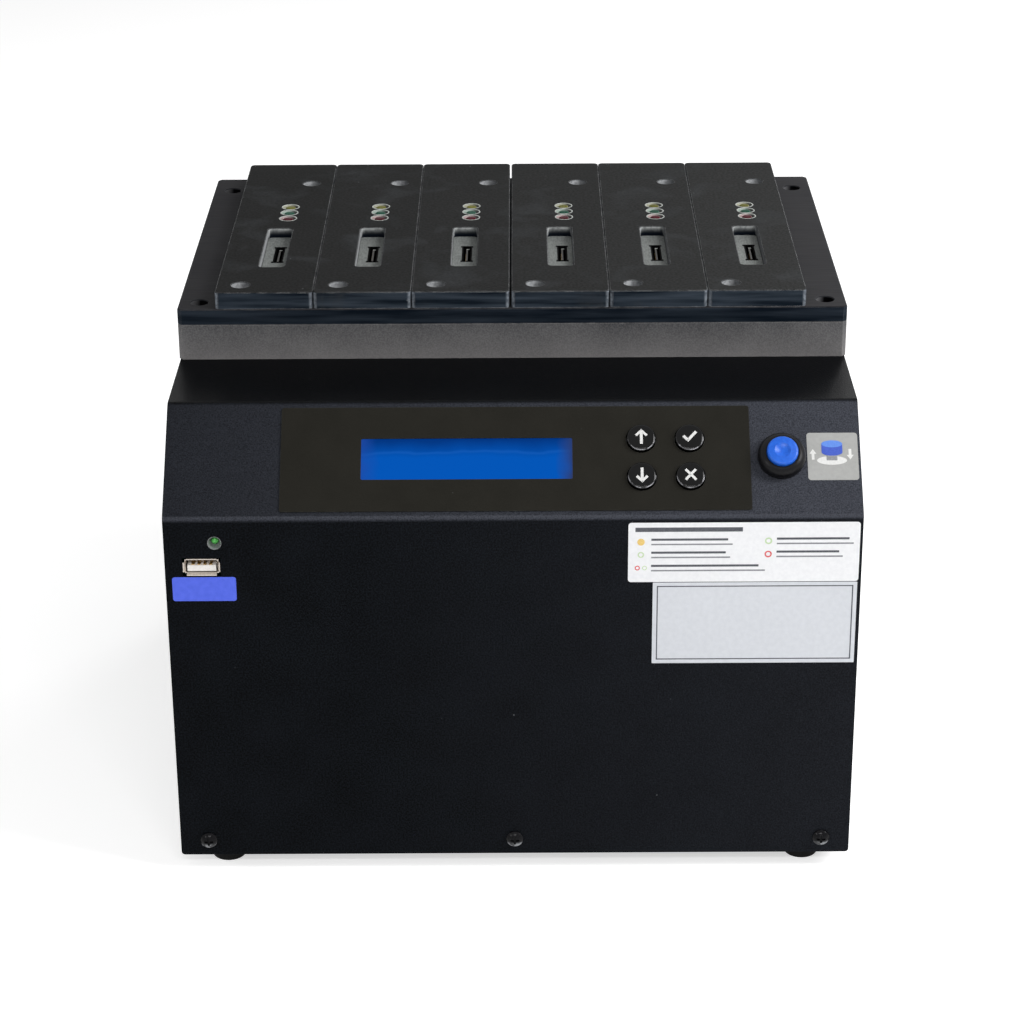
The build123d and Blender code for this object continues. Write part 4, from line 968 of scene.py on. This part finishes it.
label_white = sticker("label_white", rgb(0.82, 0.825, 0.845), rgb(0.89, 0.895, 0.91), 700.0, (0.4, 0.5))
label_pale = sticker("label_pale", rgb(0.62, 0.64, 0.68), rgb(0.68, 0.70, 0.74), 500.0, (0.35, 0.45))
label_blue = sticker("label_blue", rgb(0.068, 0.122, 0.74), rgb(0.092, 0.148, 0.81), 500.0, (0.3, 0.4))
label_grey = sticker("label_grey", rgb(0.315, 0.317, 0.309), rgb(0.355, 0.357, 0.349), 700.0, (0.35, 0.45))
ink_grey = ink_of("ink_grey", rgb(0.20, 0.205, 0.22), rgb(0.30, 0.305, 0.32), specular=0.2)
ink_dark = ink_of("ink_dark", rgb(0.07, 0.075, 0.09), rgb(0.12, 0.125, 0.14), specular=0.2)
ink_yellow = ink_of("ink_yellow", rgb(0.75, 0.50, 0.12), rgb(0.85, 0.62, 0.22))
ink_green = ink_of("ink_green", rgb(0.50, 0.66, 0.38), rgb(0.62, 0.74, 0.50))
ink_red = ink_of("ink_red", rgb(0.62, 0.06, 0.07), rgb(0.75, 0.11, 0.11))
satin = {"rough": (0.4, 0.5), "specular": 0.3}
ink_blue = ink_of("ink_blue", rgb(0.035, 0.075, 0.40), rgb(0.055, 0.105, 0.50), **satin)
ink_sky = ink_of("ink_sky", rgb(0.085, 0.20, 0.60), rgb(0.115, 0.25, 0.68), **satin)
ink_white = ink_of("ink_white", rgb(0.60, 0.60, 0.59), rgb(0.70, 0.70, 0.69), **satin)
print("label finishes done")

# %% White legend label
paper, ink = 0.12, 0.15
bm = bmesh.new()
legend_box = (44.5, 120.9, 133.9, 146.0)
rounded_plate(bm, *legend_box, 0.0, paper, corner=1.2)
make_piece("legend_label", bm, front_plane, label_white)

title_box = (47.2, 142.2, 88.6, 144.0)
left_rows = [(53.4, 138.9, 29.6), (53.4, 133.4, 28.8), (53.4, 127.8, 41.6)]
right_rows = [(101.8, 139.1, 28.0), (101.8, 133.6, 24.2)]
legend_rows = left_rows + right_rows
heading_half = 0.45
bm = bmesh.new()
rounded_plate(bm, *title_box, paper, ink)
for x, y, length in legend_rows:
    rounded_plate(bm, x, y - heading_half, x + length, y + heading_half, paper, ink)
make_piece("legend_headings", bm, front_plane, ink_dark)

line_drop, line_width, line_stretch = 2.35, 0.6, 1.06
bm = bmesh.new()
for x, y, length in legend_rows:
    foot = y - line_drop
    rounded_plate(bm, x, foot, x + length * line_stretch, foot + line_width, paper, ink)
make_piece("legend_lines", bm, front_plane, ink_grey)

# %% [markdown]
# The colour key is a yellow disc, three green rings and two red rings. They are spun from a half
# section, so each is one clean ring of faces.


# %% Legend signs
def signs(name, material, places):
    bm = bmesh.new()
    for x, y, inner, outer in places:
        ring(bm, x, y, inner, outer, paper, ink, steps=28)
    make_piece(name, bm, front_plane, material)


signs("legend_yellow", ink_yellow, [(49.4, 137.9, 0.0, 1.45)])
green_rings = [(49.4, 132.5, 0.75, 1.25), (98.6, 138.2, 0.8, 1.4), (50.9, 126.9, 0.6, 0.95)]
signs("legend_green", ink_green, green_rings)
red_rings = [(98.6, 132.6, 0.85, 1.4), (48.1, 126.9, 0.6, 1.0)]
signs("legend_red", ink_red, red_rings)

# %% Pale bordered label and blue label
bm = bmesh.new()
pale_box = (54.2, 85.7, 133.6, 120.6)
rounded_plate(bm, *pale_box, 0.0, paper, corner=0.3)
make_piece("bordered_label", bm, front_plane, label_pale)

bm = bmesh.new()
border_x0, border_y0, border_x1, border_y1, line = 55.8, 87.3, 132.1, 119.2, 0.45
rounded_plate(bm, border_x0, border_y0, border_x1, border_y0 + line, paper, ink)
rounded_plate(bm, border_x0, border_y1 - line, border_x1, border_y1, paper, ink)
rounded_plate(bm, border_x0, border_y0, border_x0 + line, border_y1, paper, ink)
rounded_plate(bm, border_x1 - line, border_y0, border_x1, border_y1, paper, ink)
make_piece("bordered_label_line", bm, front_plane, ink_dark)

bm = bmesh.new()
blue_box = (-132.4, 113.7, -107.6, 123.9)
rounded_plate(bm, *blue_box, 0.0, paper, corner=1.0)
make_piece("blue_label", bm, front_plane, label_blue)

# %% [markdown]
# ## The pictogram beside the push button
#
# A grey sticker shows the button as a little drawing: a blue cap with a paler crown, on a stem, on a
# white oval, with an arrow up on its left and an arrow down on its right. Each part is a flat outline
# of its own colour, and each lies a little above the one under it.

# %% Grey sticker
bm = bmesh.new()
grey_box = (114.3, -9.7, 134.0, 10.4)
rounded_plate(bm, *grey_box, 0.0, paper, corner=1.2)
make_piece("button_label", bm, slope_plane, label_grey)


# %% Oval and arrows
def arrow(bm, x, y, width, height, shaft, low, high):
    """An arrow along y: it points down where the height is negative."""
    tip, neck, foot = y + height / 2, y + height * 0.06, y - height / 2
    right_side = [(shaft / 2, foot), (shaft / 2, neck), (width / 2, neck)]
    left_side = [(-offset, level) for offset, level in reversed(right_side)]
    points = [*right_side, (0.0, tip), *left_side]
    outline(bm, [(x + offset, level) for offset, level in points], low, high)


arrow_size = {"width": 2.7, "shaft": 1.1, "low": paper, "high": ink}
bm = bmesh.new()
ring(bm, 123.8, -1.4, 0.0, 5.8, paper, ink, squeeze=0.32)
arrow(bm, 116.5, 1.2, height=4.5, **arrow_size)
arrow(bm, 130.9, 1.2, height=-4.5, **arrow_size)
make_piece("button_label_white", bm, slope_plane, ink_white)

# %% Stem, cap and crown
layer = 0.03
bm = bmesh.new()
stem_box = (121.7, -1.4, 125.9, 2.6)
rounded_plate(bm, *stem_box, ink, ink + layer, corner=0.2)
make_piece("button_label_stem", bm, slope_plane, ink_grey)

cap_middle, cap_radius, cap_foot, cap_top, cap_squeeze = 123.95, 4.05, 2.1, 5.6, 0.37
cap_skin = ink + layer
bm = bmesh.new()
cap_box = (119.9, cap_foot, 128.0, cap_top)
rounded_plate(bm, *cap_box, cap_skin, cap_skin + layer)
ring(bm, cap_middle, cap_foot, 0.0, cap_radius, cap_skin, cap_skin + 0.02, squeeze=cap_squeeze)
make_piece("button_label_cap", bm, slope_plane, ink_blue)

crown_skin = cap_skin + layer
bm = bmesh.new()
ring(bm, cap_middle, cap_top, 0.0, cap_radius, crown_skin, crown_skin + layer, squeeze=cap_squeeze)
make_piece("button_label_crown", bm, slope_plane, ink_sky)

# %% [markdown]
# ## Signs on the keys
#
# The four keys are printed white: an arrow up, an arrow down, a cross and a tick. The key tops
# are shallow domes, so a flat sign would float at its ends. The drawing is cut into small cells with
# bisect planes, and each point then drops by the dome's own curve, so the print lies on the plastic.

# %% Key tops
key_pitch = Vector((18.8, 16.1))
key_middle = Vector((59.4, 0.0))
dome_reach, dome_rise, key_height = 4.55, 0.25, 2.3
dome_radius = (dome_reach**2 + dome_rise**2) / (2 * dome_rise)
key_crown = key_height + dome_rise
print("key tops curve with a radius of", round(dome_radius, 1), "mm")


def lay_on_dome(bm, reach=4.0, step=0.5):
    cuts = [i * step - reach for i in range(int(2 * reach / step) + 1)]
    for cut in cuts:
        for normal in ((1.0, 0.0, 0.0), (0.0, 1.0, 0.0)):
            geometry = [*bm.verts, *bm.edges, *bm.faces]
            bmesh.ops.bisect_plane(bm, geom=geometry, plane_co=Vector(normal) * cut, plane_no=normal)
    for vert in bm.verts:
        vert.co.z += key_crown - (vert.co.x**2 + vert.co.y**2) / (2 * dome_radius)


# %% Strokes
sunk, proud = -0.03, 0.03
arrow_strokes = [
    ((0.0, -3.0), (0.0, 2.2), 1.1),
    ((-2.1, 0.55), (0.3, 2.95), 1.0),
    ((2.1, 0.55), (-0.3, 2.95), 1.0),
]
cross_strokes = [((-2.0, -2.2), (2.0, 2.2), 1.0), ((2.0, -2.2), (-2.0, 2.2), 1.0)]
tick_strokes = [((-2.5, 0.3), (-0.45, -1.85), 1.1), ((-1.05, -1.95), (2.5, 2.1), 1.1)]


def stroke(bm, start, end, width):
    """A straight bar between two points."""
    run = end - start
    side = Vector((-run.y, run.x)).normalized() * width / 2
    outline(bm, [start - side, end - side, end + side, start + side], sunk, proud)


print("signs stand", proud, "mm proud")


# %% Key signs
def key_sign(name, body, column, row, strokes, flip=1):
    bm = bmesh.new()
    for (x0, y0), (x1, y1), width in strokes:
        stroke(bm, Vector((x0, y0 * flip)), Vector((x1, y1 * flip)), width)
    lay_on_dome(bm)
    centre = key_middle + Vector((column * key_pitch.x, row * key_pitch.y)) / 2
    key_plane = slope_plane @ Matrix.Translation(centre.to_3d() * mm)
    make_piece(name, bm, key_plane, ink_white, body=body)


key_sign("sign_up", "key_up", -1, 1, arrow_strokes)
key_sign("sign_ok", "key_ok", 1, 1, tick_strokes)
key_sign("sign_down", "key_down", -1, -1, arrow_strokes, flip=-1)
key_sign("sign_cancel", "key_cancel", 1, -1, cross_strokes)

# %% [markdown]
# ## Contacts in the port connectors
#
# Each connector holds a thin tongue. Its top edge is grey with a pale tip at the back, and a row
# of seven gold contacts runs down one side. One loop draws them for all six ports.

# %% Tongue caps and contacts
tongue_grey = finish(
    "tongue_grey", rgb(0.045, 0.043, 0.04), rgb(0.10, 0.097, 0.09), rough=(0.4, 0.5), specular=0.1
)
tongue_reach, tongue_drop, tongue_side = 7.6, 0.5, 0.4
cap_inset, cap_depth, foot_reach, foot_depth, foot_gap = 0.04, 0.06, 0.9, 0.7, 0.1
contact_count, contact_pitch, contact_half, contact_skin = 7, 1.27, 0.32, 0.1
contact_start, contact_top, contact_foot = -5.6, 0.5, 4.8
strips, feet, contacts = bmesh.new(), bmesh.new(), bmesh.new()
for i in ports:
    low, high = (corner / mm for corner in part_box(f"port_connector_{i}"))
    x, y, top = (low.x + high.x) / 2, (low.y + high.y) / 2, high.z - tongue_drop
    face, front, back = x - tongue_side, y - tongue_reach, y + tongue_reach
    left, cap_right, foot = face + cap_inset, x + tongue_side - cap_inset, back - foot_depth
    cap = {"low": top, "high": top + cap_depth, "corner": 0.2}
    rounded_plate(strips, left, front, cap_right, foot - foot_gap, **cap)
    rounded_plate(feet, left, foot, x + foot_reach, back, **cap)
    for step in range(contact_count):
        middle = y + contact_start + step * contact_pitch
        strip = (face - contact_skin, middle - contact_half, face, middle + contact_half)
        rounded_plate(contacts, *strip, top - contact_foot, top - contact_top)
make_piece("tongue_strips", strips, level_plane, tongue_grey)
make_piece("tongue_ends", feet, level_plane, sleeve_white)
make_piece("tongue_contacts", contacts, level_plane, contact_gold)

# %% [markdown]
# ## Rims of the lamp sleeves
#
# Each sleeve ends in a thin pale lip that stands a little above the block and shows as a bright line
# round the lamp. It is a ring spun from a small section, one for each of the three lamps on a block.

# %% Lamp rims
lip_inner, lip_outer, lip_proud, lamp_shift = 3.5, 3.88, 0.06, 3.0
lip_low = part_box("led_sleeves")[1].z / mm
lamp_nodes = ("red_leds", "green_leds", "yellow_leds")
lamp_rows = [sum(corner.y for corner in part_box(node)) / 2 / mm for node in lamp_nodes]
bm = bmesh.new()
for i in ports:
    low, high = (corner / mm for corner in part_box(f"port_block_{i}"))
    column = (low.x + high.x) / 2 + lamp_shift
    for row in lamp_rows:
        ring(bm, column, row, lip_inner, lip_outer, lip_low, high.z + lip_proud)
make_piece("lamp_rims", bm, level_plane, sleeve_white)

# %% [markdown]
# ## Floor and room
#
# The object stands on a plain pale floor in a white room. The room and the floor look pure white to
# the camera and in reflections, which the Light Path node picks out, while the light that falls on
# the object stays at a plain level. The floor still takes the object's shadow.


# %% Rays
def seen_directly(tree):
    """1 for rays from the camera and for rays in gloss or glass, and 0 for light on a surface."""
    rays = put(tree, "LightPath").outputs
    straight = maths(tree, "MAXIMUM", rays["Is Camera Ray"], rays["Is Glossy Ray"])
    return maths(tree, "MAXIMUM", straight, rays["Is Transmission Ray"])


print("ray helper ready")

# %% Floor
floor_white = bpy.data.materials.new("floor_white")
floor_white.use_nodes = True
tree = floor_white.node_tree
tree.nodes.remove(tree.nodes["Principled BSDF"])
matte = put(tree, "BsdfDiffuse", {"Color": rgb(0.80, 0.80, 0.80)})
glow_share = 0.58
glow = maths(tree, "MULTIPLY", seen_directly(tree), glow_share)
lift = put(tree, "Emission", {"Color": rgb(1.0, 1.0, 1.0), "Strength": glow})
both = put(tree, "AddShader", {0: matte.outputs[0], 1: lift.outputs[0]})
tree.links.new(both.outputs[0], tree.nodes["Material Output"].inputs["Surface"])

bm = bmesh.new()
bmesh.ops.create_circle(bm, cap_ends=True, segments=96, radius=8.0)
floor_mesh = bpy.data.meshes.new("floor")
bm.to_mesh(floor_mesh)
bm.free()
floor_mesh.materials.append(floor_white)
floor = bpy.data.objects.new("floor", floor_mesh)
scene.collection.objects.link(floor)
print("floor of", len(floor_mesh.vertices), "corners")

# %% Room
room = bpy.data.worlds.new("room")
room.use_nodes = True
scene.world = room
tree = room.node_tree
strength = fit(tree, seen_directly(tree), 0.0, 1.0, 0.28, 1.0)
tree.links.new(strength, tree.nodes["Background"].inputs["Strength"])
tree.nodes["Background"].inputs["Color"].default_value = rgb(1.0, 1.0, 1.0)
print("room ready")

# %% [markdown]
# ## Light
#
# The main light stands low on the right, so that the right wall of each slot shades its floor. A second
# one hangs above it. A long strip in front draws the bright line along the bend of the cover, a small
# one on the left puts a glint on screws and keys, a weak one behind brings out the block tops, and a low
# one keeps the left wall from sinking into black.


# %% Lamps
def soft_light(name, place, aim, width, height, power):
    data = bpy.data.lights.new(name, "AREA")
    data.shape = "RECTANGLE"
    data.size, data.size_y = width, height
    data.energy = power
    lamp = bpy.data.objects.new(name, data)
    lamp.location = place
    lamp.rotation_euler = (Vector(aim) - Vector(place)).to_track_quat("-Z", "Y").to_euler()
    scene.collection.objects.link(lamp)
    print("light", name, power, "W")


soft_light("side_light", (0.92, -0.34, 0.66), (0.08, 0.0, 0.20), 0.4, 0.4, 6.3)
soft_light("top_light", (0.80, -0.36, 1.12), (0.10, -0.08, 0.17), 0.36, 0.36, 6.2)
soft_light("front_strip", (0.05, -1.15, 0.90), (0.0, -0.13, 0.15), 0.7, 0.1, 4.8)
soft_light("left_light", (-0.70, -0.80, 0.50), (-0.05, -0.13, 0.12), 0.15, 0.15, 1.2)
soft_light("back_light", (0.62, 1.25, 0.66), (0.10, 0.0, 0.20), 0.4, 0.4, 4.5)
soft_light("wall_light", (-1.20, 0.45, 0.20), (-0.13, 0.05, 0.10), 0.5, 0.3, 5.0)
